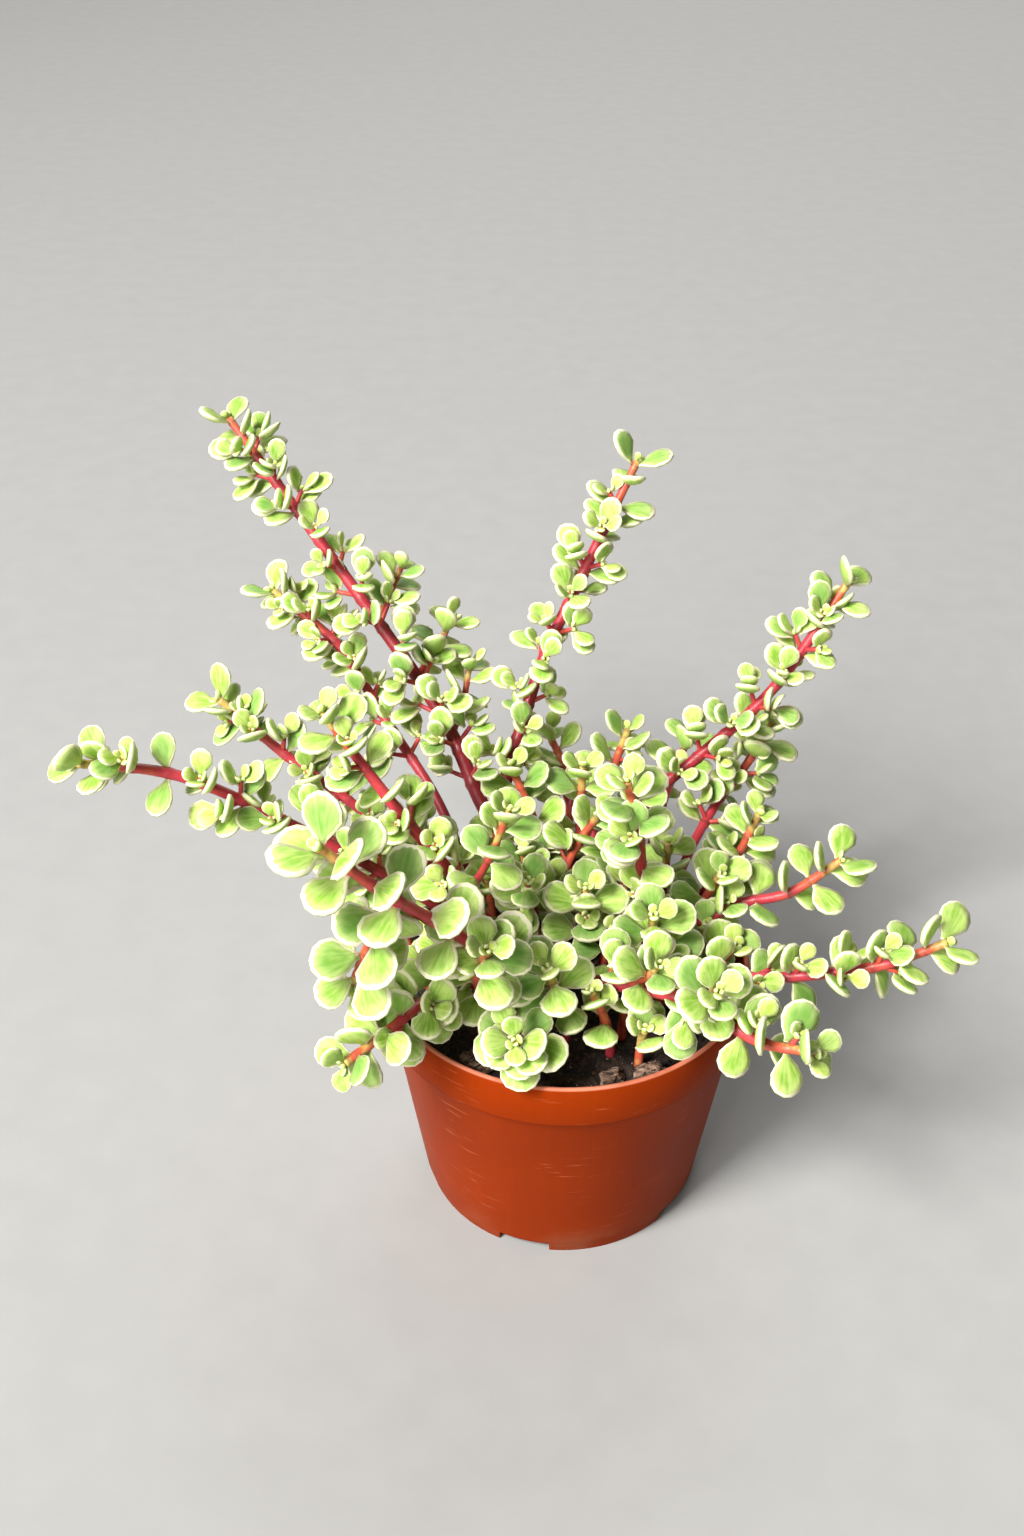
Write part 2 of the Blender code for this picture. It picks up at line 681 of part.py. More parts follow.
def chip_mesh(rng, x, y):
    """A flat broken chip of bark that lies half in the soil."""
    length = rng.uniform(*CHIP_SIZE)
    width = length * rng.uniform(0.5, 0.75)
    turn = rng.uniform(0, math.pi)
    tip = rng.uniform(-0.22, 0.22)
    top = soil_height(x, y) + rng.uniform(1.6, 2.6)
    points = []
    for level, share in ((top - CHIP_DEPTH, 0.8), (top, 0.85)):
        for k in range(5):
            angle = 2 * math.pi * (k + rng.uniform(-0.2, 0.2)) / 5
            a = math.cos(angle) * length / 2 * share
            b = math.sin(angle) * width / 2 * share
            px = x + a * math.cos(turn) - b * math.sin(turn)
            py = y + a * math.sin(turn) + b * math.cos(turn)
            points.append((px, py, level + a * tip))
    sides = [(k, (k + 1) % 5, (k + 1) % 5 + 5, k + 5) for k in range(5)]
    return points, [(4, 3, 2, 1, 0), (5, 6, 7, 8, 9)] + sides


def make_soil(finish):
    """The soil plug with bark chips fused into its top and a hole for each stem."""
    band = POT_HEIGHT - BAND_HEIGHT
    low = FLOOR_HEIGHT + FLOOR_THICKNESS + GAP
    outline = [(0, low), (pot_inside(low) - GAP, low), (pot_inside(band - 1.4) - GAP, band - 0.6),
               (pot_inside(band + 1.0) - GAP - 0.1, band + 2.0), (pot_inside(POT_HEIGHT) - GAP, SOIL_TOP),
               (45.0, SOIL_TOP), (24.0, SOIL_TOP), (0, SOIL_TOP)]
    soil = turned_shell("potting_soil", outline, SOIL_SIDES, finish)
    for vert in soil.data.vertices:
        if vert.co.z > (SOIL_TOP - 0.01) * MM and vert.co.xy.length < 55 * MM:
            vert.co.z = soil_height(vert.co.x / MM, vert.co.y / MM) * MM
    join_collection(soil, soil_chips())
    holes = new_group("stem_holes", [stem_hole(plan) for plan in STEMS.values()])
    for hole in holes.objects:
        hole.hide_render = True
        hole.display_type = "WIRE"
    apply_boolean(soil, "DIFFERENCE", group=holes)
    remove_group(holes)
    keep_largest_body(soil)
    print("potting_soil triangles", len(soil.data.polygons))


def stem_hole(plan):
    """The plain hole that a stem stands in, as points and faces."""
    x, y = plan["root"]
    line = [Vector((x, y, STEM_FOOT - 0.6)), Vector((x, y, STEM_COLLAR + 8.0))]
    radius = plan["girth"] / 2 + GAP + 0.1
    return tube_mesh(line, [radius, radius], stem_sides(plan["girth"] / 2))


def soil_chips():
    """Chips strewn over the soil, clear of the stems and of each other."""
    rng = random.Random(41)
    places = list(CHIP_PLACES)
    while len(places) < CHIPS:
        radius = 50.0 * math.sqrt(rng.random())
        turn = rng.uniform(0, 2 * math.pi)
        place = (radius * math.cos(turn), radius * math.sin(turn))
        if all(math.dist(place, other) > 11.0 for other in places):
            places.append(place)
    return [chip_mesh(rng, x, y) for x, y in places if clear_of_stems(x, y)]


def clear_of_stems(x, y):
    """Whether a chip's place is far enough from every stem's foot."""
    return all(math.dist((x, y), plan["root"]) > 4.5 + plan["girth"] / 2 for plan in STEMS.values())


def main():
    """Builds the pot, the soil and every leafy stem."""
    clear_scene()
    terracotta = material("terracotta_plastic", (0.55, 0.12, 0.035), 0.42)
    loam = material("loam", (0.02, 0.013, 0.009), 0.95)
    foliage = material("variegated_foliage", (0.42, 0.62, 0.24), 0.4)
    make_pot(terracotta)
    make_soil(loam)
    plant = grow_plant()
    for name in STEMS:
        make_stem(name, plant, foliage)


main()
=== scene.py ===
# %% [markdown]
# # A variegated elephant bush in its nursery pot
#
# The plant is a young *Portulacaria afra*: red stems with pairs of small, round,
# fleshy leaves, each with a green middle and a cream edge. It stands in a plain
# terracotta-coloured plastic pot. The measured solids of the pot, the soil and the
# leafy stems come first, and this lesson dresses them: a smooth pot, crumbly soil,
# and for each stem a finer set of leaves that grows by the same rule.

# %% Open the measured model
import bpy
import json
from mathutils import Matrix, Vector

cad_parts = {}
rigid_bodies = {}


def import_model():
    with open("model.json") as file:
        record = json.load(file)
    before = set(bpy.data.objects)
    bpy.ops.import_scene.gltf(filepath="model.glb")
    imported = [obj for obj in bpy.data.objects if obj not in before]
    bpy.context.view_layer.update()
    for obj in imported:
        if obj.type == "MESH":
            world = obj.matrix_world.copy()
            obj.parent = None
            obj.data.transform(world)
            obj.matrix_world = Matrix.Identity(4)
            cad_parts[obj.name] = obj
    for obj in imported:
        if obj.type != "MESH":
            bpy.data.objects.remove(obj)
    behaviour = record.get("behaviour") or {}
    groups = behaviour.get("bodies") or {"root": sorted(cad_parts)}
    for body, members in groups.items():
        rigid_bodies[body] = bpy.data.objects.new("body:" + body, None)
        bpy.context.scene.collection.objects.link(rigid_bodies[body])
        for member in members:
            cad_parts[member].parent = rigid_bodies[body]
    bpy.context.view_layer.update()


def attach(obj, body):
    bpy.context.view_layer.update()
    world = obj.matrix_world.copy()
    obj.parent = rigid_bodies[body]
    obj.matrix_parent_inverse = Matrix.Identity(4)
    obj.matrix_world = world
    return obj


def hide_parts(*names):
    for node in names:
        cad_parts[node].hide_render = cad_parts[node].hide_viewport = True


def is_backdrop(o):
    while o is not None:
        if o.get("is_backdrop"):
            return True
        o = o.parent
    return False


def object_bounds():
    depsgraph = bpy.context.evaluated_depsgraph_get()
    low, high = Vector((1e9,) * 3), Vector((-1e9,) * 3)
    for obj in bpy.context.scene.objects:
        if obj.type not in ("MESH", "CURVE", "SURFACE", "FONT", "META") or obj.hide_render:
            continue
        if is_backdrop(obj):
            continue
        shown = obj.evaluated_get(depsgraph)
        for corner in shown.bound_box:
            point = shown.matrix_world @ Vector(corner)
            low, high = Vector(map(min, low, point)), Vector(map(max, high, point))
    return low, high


for old in list(bpy.data.objects):
    bpy.data.objects.remove(old, do_unlink=True)
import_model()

import json
import math
import random

import bmesh
import numpy as np
from mathutils import Vector, noise
from mathutils.bvhtree import BVHTree
from mathutils.geometry import intersect_point_line

MM = 0.001

# %% [markdown]
# ## Where we look from, and the light
#
# The camera stands in front of the plant and looks down on it by about 35 degrees,
# with a 40 mm lens. From so near, the front leaves look larger than the rear ones.
# The light is that of a small studio: one broad lamp from the upper left, a weaker
# one lower down beside it, and one behind that lights the leaf edges. Large lamps
# give soft shadows, which suit waxy leaves. The room is pale to look at and dim as a
# light, so that the shadows between the leaves stay deep. The plain "Standard" view
# keeps the colours of the finishes as they are.

# %% Camera, lamps and floor
LOOK_DOWN = math.radians(34.62)
CAMERA_PLACE = (-0.017, -0.4208, 0.453)
LENS = 40.0
SENSOR = 36.0
NEAREST_SEEN = 0.01
FLOOR_SIZE = 6.0

# Each lamp's name, place and size in metres, watts and colour. All aim at the middle
# of the plant.
MIDDLE = Vector((0.0, 0.0, 0.12))
LAMPS = [("key_lamp", (-1.9, -1.9, 3.1), 1.2, 318.0, (1.0, 0.985, 0.96)),
         ("fill_lamp", (-1.9, -2.7, 1.5), 2.0, 124.0, (1.0, 0.99, 0.97)),
         ("rear_lamp", (0.6, 2.9, 2.4), 2.2, 72.0, (1.0, 1.0, 1.0))]

# How brightly the room around lights the plant, and how bright it looks itself.
WORLD_LIGHT = 0.11
WORLD_SEEN = 0.55


def deselect():
    """Leaves nothing selected, so that an operator acts only on its own object."""
    bpy.ops.object.select_all(action="DESELECT")


deselect()
bpy.ops.object.camera_add(location=CAMERA_PLACE, rotation=(math.pi / 2 - LOOK_DOWN, 0, 0))
camera = bpy.context.object
camera.data.lens = LENS
camera.data.sensor_width = SENSOR
camera.data.clip_start = NEAREST_SEEN
bpy.context.scene.camera = camera

for name, place, size, watts, colour in LAMPS:
    deselect()
    bpy.ops.object.light_add(type="AREA", location=place)
    lamp = bpy.context.object
    lamp.name = name
    lamp.rotation_euler = (MIDDLE - Vector(place)).to_track_quat("-Z", "Y").to_euler()
    lamp.data.size = size
    lamp.data.energy = watts
    lamp.data.color = colour

world = bpy.data.worlds.new("studio")
world.use_nodes = True
background = world.node_tree.nodes["Background"]
background.inputs["Color"].default_value = (1.0, 1.0, 1.0, 1.0)
seen = world.node_tree.nodes.new("ShaderNodeLightPath")
strength = world.node_tree.nodes.new("ShaderNodeMapRange")
strength.inputs["To Min"].default_value = WORLD_LIGHT
strength.inputs["To Max"].default_value = WORLD_SEEN
world.node_tree.links.new(seen.outputs["Is Camera Ray"], strength.inputs["Value"])
world.node_tree.links.new(strength.outputs[0], background.inputs["Strength"])
bpy.context.scene.world = world
bpy.context.scene.view_settings.view_transform = "Standard"

deselect()
bpy.ops.mesh.primitive_plane_add(size=FLOOR_SIZE, location=(0, 0, 0))
floor = bpy.context.object
floor.name = "studio_floor"
floor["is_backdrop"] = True
print("camera at", CAMERA_PLACE, "and", len(LAMPS), "lamps")

# %% [markdown]
# ## Helpers for finishes
#
# A material in Blender is a small graph: textures feed maths, maths feeds the
# shader. These helpers add a node and join it in one line, so that each finish
# below reads as a recipe. They all work on `tree`, which is the graph of the finish
# that was begun last. Where a value may be a number or another node's output,
# `feed` does the right thing.

# %% Helpers for finishes
def new_finish(name, roughness):
    """A material, its graph and its shader."""
    made = bpy.data.materials.new(name)
    made.use_nodes = True
    shader = made.node_tree.nodes["Principled BSDF"]
    shader.inputs["Roughness"].default_value = roughness
    return made, made.node_tree, shader


def feed(socket, value):
    """Sets a socket to a number or colour, or joins it to another output."""
    if isinstance(value, bpy.types.NodeSocket):
        tree.links.new(value, socket)
    else:
        socket.default_value = value


def maths(operation, first, second=0.0, third=0.0):
    """A Math node's output."""
    made = tree.nodes.new("ShaderNodeMath")
    made.operation = operation
    for socket, value in zip(made.inputs, (first, second, third)):
        feed(socket, value)
    return made.outputs[0]


def plus(first, second):
    """The sum of two values."""
    return maths("ADD", first, second)


def minus(first, second):
    """The first value less the second."""
    return maths("SUBTRACT", first, second)


def times(first, second):
    """The product of two values."""
    return maths("MULTIPLY", first, second)


def ease(value, low, high, start=0.0, end=1.0):
    """Goes smoothly from start to end while value goes from low to high."""
    made = tree.nodes.new("ShaderNodeMapRange")
    made.interpolation_type = "SMOOTHSTEP"
    names = ("Value", "From Min", "From Max", "To Min", "To Max")
    for key, number in zip(names, (value, low, high, start, end)):
        feed(made.inputs[key], number)
    return made.outputs[0]


def blend_colour(share, first, second, way="MIX"):
    """Mixes two colours. Each is an RGB triple or another output."""
    made = tree.nodes.new("ShaderNodeMix")
    made.data_type = "RGBA"
    made.blend_type = way
    colours = [socket for socket in made.inputs if socket.type == "RGBA"]
    feed(made.inputs[0], share)
    for socket, colour in zip(colours, (first, second)):
        feed(socket, (*colour, 1.0) if isinstance(colour, tuple) else colour)
    return next(socket for socket in made.outputs if socket.type == "RGBA")


def with_coats(tone, *coats):
    """Lays coats over a tone. Each has a share, a strength and a colour."""
    for share, strength, colour in coats:
        tone = blend_colour(times(share, strength), tone, colour)
    return tone


def speckle(place, scale, detail=2.0, roughness=0.5, distortion=0.0):
    """A Noise texture's value, from 0 to 1."""
    made = tree.nodes.new("ShaderNodeTexNoise")
    feed(made.inputs["Vector"], place)
    made.inputs["Scale"].default_value = scale
    made.inputs["Detail"].default_value = detail
    made.inputs["Roughness"].default_value = roughness
    made.inputs["Distortion"].default_value = distortion
    return made.outputs["Fac"]


def stored(name):
    """A value that the mesh keeps at each of its points."""
    made = tree.nodes.new("ShaderNodeAttribute")
    made.attribute_name = name
    return made.outputs["Fac"]


def object_place(stretch=(1.0, 1.0, 1.0)):
    """Object coordinates, stretched along the axes."""
    place = tree.nodes.new("ShaderNodeTexCoord").outputs["Object"]
    mapping = tree.nodes.new("ShaderNodeMapping")
    tree.links.new(place, mapping.inputs["Vector"])
    mapping.inputs["Scale"].default_value = stretch
    return mapping.outputs["Vector"]


def relief(height, strength, depth):
    """A Bump node's normal, with its depth in metres."""
    made = tree.nodes.new("ShaderNodeBump")
    made.inputs["Strength"].default_value = strength
    made.inputs["Distance"].default_value = depth
    tree.links.new(height, made.inputs["Height"])
    return made.outputs["Normal"]


floor_paper, tree, shader = new_finish("floor_paper", 0.8)
grain = speckle(object_place(), 60.0, 3.0)
feed(shader.inputs["Base Color"], blend_colour(grain, (0.285, 0.283, 0.277), (0.32, 0.317, 0.31)))
floor.data.materials.append(floor_paper)
print("finish:", floor_paper.name)

# %% [markdown]
# ## The pot's finish
#
# The pot is injection-moulded plastic in terracotta. It has a soft gloss, fine
# scuffs from handling, faint upright flow lines, a pale line along the lip that is a
# painted highlight, a dark line of painted shade under the rim band, and a little
# dust near its foot. The scuffs and the dust are painted as pale coats, and the same
# two shares make those places duller.

# %% The pot's finish
terracotta, tree, shader = new_finish("terracotta_plastic_detail", 0.4)
plain = object_place()
mottle = speckle(plain, 38.0, 4.0)
flow = speckle(object_place((420.0, 420.0, 14.0)), 1.0, 2.0)
scuffs = speckle(object_place((60.0, 60.0, 900.0)), 1.0, 3.0, 0.6, 0.4)
scuffed = times(ease(scuffs, 0.60, 0.70), ease(mottle, 0.48, 0.62))
split = tree.nodes.new("ShaderNodeSeparateXYZ")
tree.links.new(plain, split.inputs["Vector"])
height = split.outputs["Z"]
dust = times(ease(height, 0.016, 0.003), ease(mottle, 0.38, 0.62))
# A pale line along the lip: a painted highlight.
painted_lip_highlight = times(ease(height, 0.0872, 0.0877), ease(mottle, 0.1, 0.5))
# A dark line just under the rim band: painted shade from the band's ledge.
painted_band_shade = times(ease(height, 0.0695, 0.0722), ease(height, 0.0731, 0.0725))
tone = blend_colour(mottle, (0.185, 0.018, 0.001), (0.25, 0.028, 0.0015))
tone = with_coats(tone, (flow, 0.2, (0.33, 0.035, 0.004)), (scuffed, 0.4, (0.66, 0.21, 0.11)),
                  (dust, 0.45, (0.24, 0.09, 0.05)), (painted_lip_highlight, 0.6, (0.74, 0.27, 0.17)),
                  (painted_band_shade, 0.7, (0.10, 0.012, 0.003)))
feed(shader.inputs["Base Color"], tone)
gloss = plus(times(mottle, 0.14), 0.32)
feed(shader.inputs["Roughness"], plus(gloss, times(plus(scuffed, dust), 0.25)))
shader.inputs["Specular IOR Level"].default_value = 0.018
skin = plus(speckle(plain, 900.0, 2.0), times(flow, 0.6))
feed(shader.inputs["Normal"], relief(skin, 0.12, 0.0004))
print("finish:", terracotta.name)

# %% [markdown]
# ## The pot
#
# A moulded pot is a thin shell with a stepped rim band, a tapering wall and a
# skirted foot. It could be spun from a profile. Here a circle is extruded ring by
# ring, up the outside, over the lip and down the inside, which is how such a wall
# is drawn by hand. The foot's notches and the floor's drain holes are then cut with
# Booleans, and a Bevel modifier rounds the moulded edges.

# %% Sizes of the pot
POT_HEIGHT = 88.0
RIM_RADIUS = 60.0
BAND_HEIGHT = 15.5
BAND_STEP = 2.1
WALL = 1.4
FOOT_RADIUS = 46.0
FOOT_HEIGHT = 4.6
FLOOR_HEIGHT = 4.0
FLOOR_THICKNESS = 1.4
PAD_RADIUS = 12.0
EDGE_ROUNDING = 0.35
NOTCHES = 5
NOTCH_WIDTH = 17.0
NOTCH_DEPTH = 14.0
NOTCH_FIRST = math.radians(-106.5)
NOTCH_HEIGHT = 3.6
DRAIN_RADIUS = 3.6
DRAIN_CIRCLE = 33.0
DRAIN_DEPTH = 6.0

# A body made of rings starts and ends in a circle this small, which a face closes.
CENTRE_DOT = 0.4


def body_radius(height):
    """The pot's outer radius between the foot and the rim band."""
    low = FOOT_RADIUS + 1.4
    high = RIM_RADIUS - 0.5 - BAND_STEP
    share = (height - FOOT_HEIGHT) / (POT_HEIGHT - BAND_HEIGHT - FOOT_HEIGHT)
    return low + (high - low) * share


def pot_inside(height):
    """The pot's inner radius at a height."""
    if height > POT_HEIGHT - BAND_HEIGHT + 0.8:
        return RIM_RADIUS - 0.6 - WALL
    return body_radius(height) - WALL


print("pot:", 2 * RIM_RADIUS, "mm across and", POT_HEIGHT, "mm high")

# %% Helpers for modelling
def choose(piece):
    """Makes a piece the only selected one, and the active one."""
    deselect()
    bpy.context.view_layer.objects.active = piece
    piece.select_set(True)


def edit(piece):
    """Opens a piece in edit mode with nothing selected."""
    choose(piece)
    bpy.ops.object.mode_set(mode="EDIT")
    bpy.ops.mesh.select_mode(type="VERT")
    bpy.ops.mesh.select_all(action="DESELECT")


def pick(rule):
    """Selects the points of the open piece that a rule holds for."""
    mesh = bpy.context.object.data
    bm = bmesh.from_edit_mesh(mesh)
    for vert in bm.verts:
        vert.select_set(rule(vert.co))
    bm.select_flush_mode()
    bmesh.update_edit_mesh(mesh)


def close_edit():
    """Goes back to object mode and gives the piece."""
    bpy.ops.object.mode_set(mode="OBJECT")
    return bpy.context.object


def next_ring(before, after):
    """Extrudes the selected ring from one (radius, height) to the next."""
    bpy.ops.mesh.extrude_region_move(TRANSFORM_OT_translate={"value": (0, 0, (after[1] - before[1]) * MM)})
    share = after[0] / before[0]
    bpy.ops.transform.resize(value=(share, share, 1))


def ringed_body(outline, sides):
    """A closed body, extruded ring by ring along an outline of (radius, height)."""
    radius, height = outline[0]
    deselect()
    bpy.ops.mesh.primitive_circle_add(vertices=sides, radius=radius * MM, location=(0, 0, 0))
    bpy.ops.object.mode_set(mode="EDIT")
    bpy.ops.mesh.select_all(action="SELECT")
    bpy.ops.transform.translate(value=(0, 0, height * MM))
    for before, after in zip(outline, outline[1:]):
        next_ring(before, after)
    bpy.ops.mesh.edge_face_add()
    pick(lambda co: co.z < (height + 0.01) * MM and co.xy.length < (CENTRE_DOT + 0.01) * MM)
    bpy.ops.mesh.edge_face_add()
    bpy.ops.mesh.select_all(action="SELECT")
    bpy.ops.mesh.normals_make_consistent(inside=False)
    return close_edit()


def apply_modifier(piece, kind, **settings):
    """Adds a modifier with its settings and applies it."""
    choose(piece)
    made = piece.modifiers.new(kind.lower(), kind)
    for key, value in settings.items():
        setattr(made, key, value)
    bpy.ops.object.modifier_apply(modifier=made.name)


def on_circle(radius, turn, height):
    """A place in metres, from a radius, a turn and a height in millimetres."""
    return math.cos(turn) * radius * MM, math.sin(turn) * radius * MM, height * MM


def cut_with(piece, cutter):
    """Subtracts the cutter from the piece, then removes the cutter."""
    apply_modifier(piece, "BOOLEAN", operation="DIFFERENCE", solver="EXACT", object=cutter)
    bpy.data.objects.remove(cutter, do_unlink=True)


print("helpers ready")

# %% The pot
POT_FINE_SIDES = 160
DRAIN_SIDES = 32
band = POT_HEIGHT - BAND_HEIGHT
inner_floor = FLOOR_HEIGHT + FLOOR_THICKNESS
foot_inside = FOOT_RADIUS - WALL
outline = [
    (CENTRE_DOT, 0), (PAD_RADIUS, 0), (PAD_RADIUS + 1.2, FLOOR_HEIGHT), (foot_inside - 0.8, FLOOR_HEIGHT),
    (foot_inside, 0), (FOOT_RADIUS, 0), (FOOT_RADIUS + 0.7, FOOT_HEIGHT),
    (body_radius(FOOT_HEIGHT), FOOT_HEIGHT + 0.6), (body_radius(band), band - 0.4),
    (RIM_RADIUS - 0.5, band), (RIM_RADIUS, POT_HEIGHT - 1.1), (RIM_RADIUS - 0.3, POT_HEIGHT - 0.4),
    (RIM_RADIUS - 0.9, POT_HEIGHT), (RIM_RADIUS - 1.6, POT_HEIGHT - 0.2),
    (pot_inside(POT_HEIGHT), POT_HEIGHT - 0.8), (pot_inside(band + 1.0), band + 1.0),
    (pot_inside(band - 1.0), band - 1.0), (pot_inside(inner_floor), inner_floor), (CENTRE_DOT, inner_floor)]
pot = ringed_body(outline, POT_FINE_SIDES)

for index in range(NOTCHES):
    turn = NOTCH_FIRST + 2 * math.pi * index / NOTCHES
    deselect()
    place = on_circle(FOOT_RADIUS, turn, 0.0)
    size = (NOTCH_DEPTH * MM, NOTCH_WIDTH * MM, 2 * NOTCH_HEIGHT * MM)
    bpy.ops.mesh.primitive_cube_add(size=1, location=place, rotation=(0, 0, turn), scale=size)
    cut_with(pot, bpy.context.object)
    deselect()
    place = on_circle(DRAIN_CIRCLE, turn, FOOT_HEIGHT)
    bpy.ops.mesh.primitive_cylinder_add(vertices=DRAIN_SIDES, radius=DRAIN_RADIUS * MM,
                                        depth=DRAIN_DEPTH * MM, location=place)
    cut_with(pot, bpy.context.object)

apply_modifier(pot, "BEVEL", width=EDGE_ROUNDING * MM, segments=2, limit_method="ANGLE",
               angle_limit=math.radians(28))
bpy.ops.object.shade_smooth_by_angle(angle=math.radians(35))
pot.name = "moulded_pot"
pot.data.materials.clear()
pot.data.materials.append(terracotta)
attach(pot, "root")
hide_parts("pot")
print(pot.name, len(pot.data.polygons), "faces")

# %% [markdown]
# ## The soil's finish
#
# Potting soil is almost black when moist, with brown clods and paler specks. Two
# noises at different scales give them, and the bump is strong, because loose
# soil has no smooth place on it. The bark chips get their own finish: tan and brown
# streaks along the grain, with dark pits.

# %% Finishes of the soil and the bark
loam, tree, shader = new_finish("loam_detail", 0.95)
plain = object_place()
clods = speckle(plain, 260.0, 4.0, 0.65)
crumbs = speckle(plain, 1150.0, 3.0, 0.7)
tone = blend_colour(ease(clods, 0.38, 0.66), (0.009, 0.005, 0.004), (0.055, 0.030, 0.019))
tone = blend_colour(ease(crumbs, 0.60, 0.72), tone, (0.15, 0.088, 0.055))
feed(shader.inputs["Base Color"], tone)
feed(shader.inputs["Normal"], relief(plus(clods, crumbs), 0.9, 0.0012))

bark, tree, shader = new_finish("bark_detail", 0.85)
grained = speckle(object_place((320.0, 1100.0, 900.0)), 1.0, 4.0, 0.6, 0.3)
patches = speckle(object_place(), 190.0, 2.0)
pits = speckle(object_place(), 620.0, 3.0, 0.6)
tone = blend_colour(ease(grained, 0.35, 0.7), (0.050, 0.022, 0.012), (0.30, 0.18, 0.12))
tone = blend_colour(ease(patches, 0.5, 0.75), tone, (0.46, 0.31, 0.23))
tone = blend_colour(ease(pits, 0.46, 0.38), tone, (0.022, 0.010, 0.006))
feed(shader.inputs["Base Color"], tone)
feed(shader.inputs["Normal"], relief(plus(grained, pits), 1.0, 0.0014))
print("finishes:", loam.name, bark.name)

# %% [markdown]
# ## The soil
#
# The soil fills the pot to a few millimetres below the rim. It starts as a ring and
# is extruded like the pot, then its top closes in through many narrow rings, so that
# there are enough points to push up and down. The height follows the same slow waves
# as the measured solid, with clods from a noise on top.

# %% Sizes of the soil
GAP = 0.35
SOIL_TOP = 79.5
SOIL_BUMP = 1.1
CHIPS = 11
CHIP_SIZE = (5.0, 8.5)

# Chips that lie at the front of the pot. The others are strewn.
CHIP_PLACES = [(13, -48), (25, -45), (-28, -41), (46, -24), (35, -36)]

# The heights at which every stem starts, in the soil, and leaves its foot's upright
# line, and how thin shoots are at their tips.
STEM_FOOT = 68.0
STEM_COLLAR = 84.0
SHOOT_TIP_RADIUS = 1.25
ARM_TIP_RADIUS = 1.0
TIP_TAPER = 25.0


def soil_height(x, y):
    """The soil's uneven top."""
    waves = math.sin(x * 0.16 + 0.7) + math.sin(y * 0.19 + 2.1) + math.sin((x + y) * 0.11) * 0.8
    return SOIL_TOP + SOIL_BUMP * waves / 2.8 * min(1.0, (58.5 - math.hypot(x, y)) / 14.0 + 0.25)


def clod_lift(x, y):
    """How far crumbs stand up or lie down at a place, in millimetres."""
    coarse = noise.noise(Vector((x * 0.22, y * 0.22, 3.1)))
    fine = noise.noise(Vector((x * 0.75, y * 0.75, 7.7)))
    return coarse * 1.3 + fine * 1.0


print("soil top at", SOIL_TOP, "mm")

# %% The soil
SOIL_FINE_SIDES = 120
TOP_RINGS = 44
low = inner_floor + GAP
wall_line = [(CENTRE_DOT, low), (pot_inside(low) - GAP, low), (pot_inside(band - 1.4) - GAP, band - 0.6),
             (pot_inside(band + 1.0) - GAP - 0.1, band + 2.0), (pot_inside(POT_HEIGHT) - GAP, SOIL_TOP)]
edge = wall_line[-1][0]
top_line = [(edge + (CENTRE_DOT - edge) * k / TOP_RINGS, SOIL_TOP) for k in range(1, TOP_RINGS + 1)]
soil = ringed_body(wall_line + top_line, SOIL_FINE_SIDES)
for vert in soil.data.vertices:
    if vert.co.z > (SOIL_TOP - 0.01) * MM:
        x, y = vert.co.x / MM, vert.co.y / MM
        calm = min(1.0, (57.0 - math.hypot(x, y)) / 4.0 + 0.3)
        vert.co.z = (soil_height(x, y) + clod_lift(x, y) * max(calm, 0.0)) * MM
bpy.ops.object.shade_smooth()
soil.name = "soil_surface"
soil.data.materials.append(loam)
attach(soil, "root")
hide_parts("potting_soil")
print(soil.name, len(soil.data.polygons), "faces")

# %% [markdown]
# ## How the plant grows
#
# Every stem has a given centre line, and the leaves follow a rule: opposite
# pairs, each pair a quarter turn on from the last, small and upright at the tip,
# larger and spread lower down. Older leaf axils put out short side shoots. A leaf
# that would meet something turns, tilts or shrinks until it is clear. The measured
# solids grew by this very rule with the same draws, so the finer leaves here land
# where those solids have theirs.

# %% The stems' centre lines
FINE_STEP = 2.0
STRAY = 0.4
LONGEST = 34.0

LEAF_LENGTH = 13.6
LEAF_THICKNESS = 2.2
LEAF_NECK = 1.0
SMALL_LEAF = 14.6
CLEARANCE = 0.36
LEAF_NEAR = 4.0
OVER_SOIL = 4.0
OVER_RIM = 0.8
LIGHT = Vector((0.0, -0.55, 0.83)).normalized()

# How pairs of leaves follow each other down a stem. A young pair is short and
# stands upright, and the pairs farther down are long and spread.
GAP_GROWTH = 1.36
WIDEST_GAP = 12.5
ARM_GAP = 2.8
ARM_BARE = 5.0
GROWING_LENGTH = 15.0
UPRIGHT_LEAN = 46.0
WIDEST_LEAN = 78.0
LEAN_PER_MM = 3.0

# The youngest leaf's share of its full length, where pairs are close and elsewhere.
CLOSE_GAP = 3.5
YOUNG_CLOSE = 0.56
YOUNG_LOOSE = 0.92

# A leaf is drawn a little to the light, and its upper side faces between the light
# and the stem.
LIGHT_PULL = 0.12
FACE_LIGHT = 0.85
FACE_STEM = 0.45

# Older axils have short shoots. Their stalks are longer farther from the tip.
YOUNGEST_AXIL = 16.0
SHOOT_LEAN = 58.0
SHORTEST_STALK = 3.0
LONGEST_STALK = 6.0
STALK_PER_MM = 0.03

# A leaf's half outline: shares of its length and of its half width.
LARGE_HALF = [(0.37, 0.62), (0.66, 1.0), (0.92, 0.64)]
SMALL_HALF = [(0.45, 0.80), (0.84, 0.84)]

# Where a leaf may move to, if its first place is taken: a tilt and a turn in
# degrees, and a scale.
TRIES = [(0, 0, 1.0), (12, 0, 1.0), (-14, 0, 1.0), (0, 22, 1.0), (0, -22, 1.0), (10, 0, 0.85),
         (-16, 18, 0.85), (-16, -18, 0.85), (16, 30, 0.8), (16, -30, 0.8), (0, 0, 0.7), (-26, 0, 0.7)]


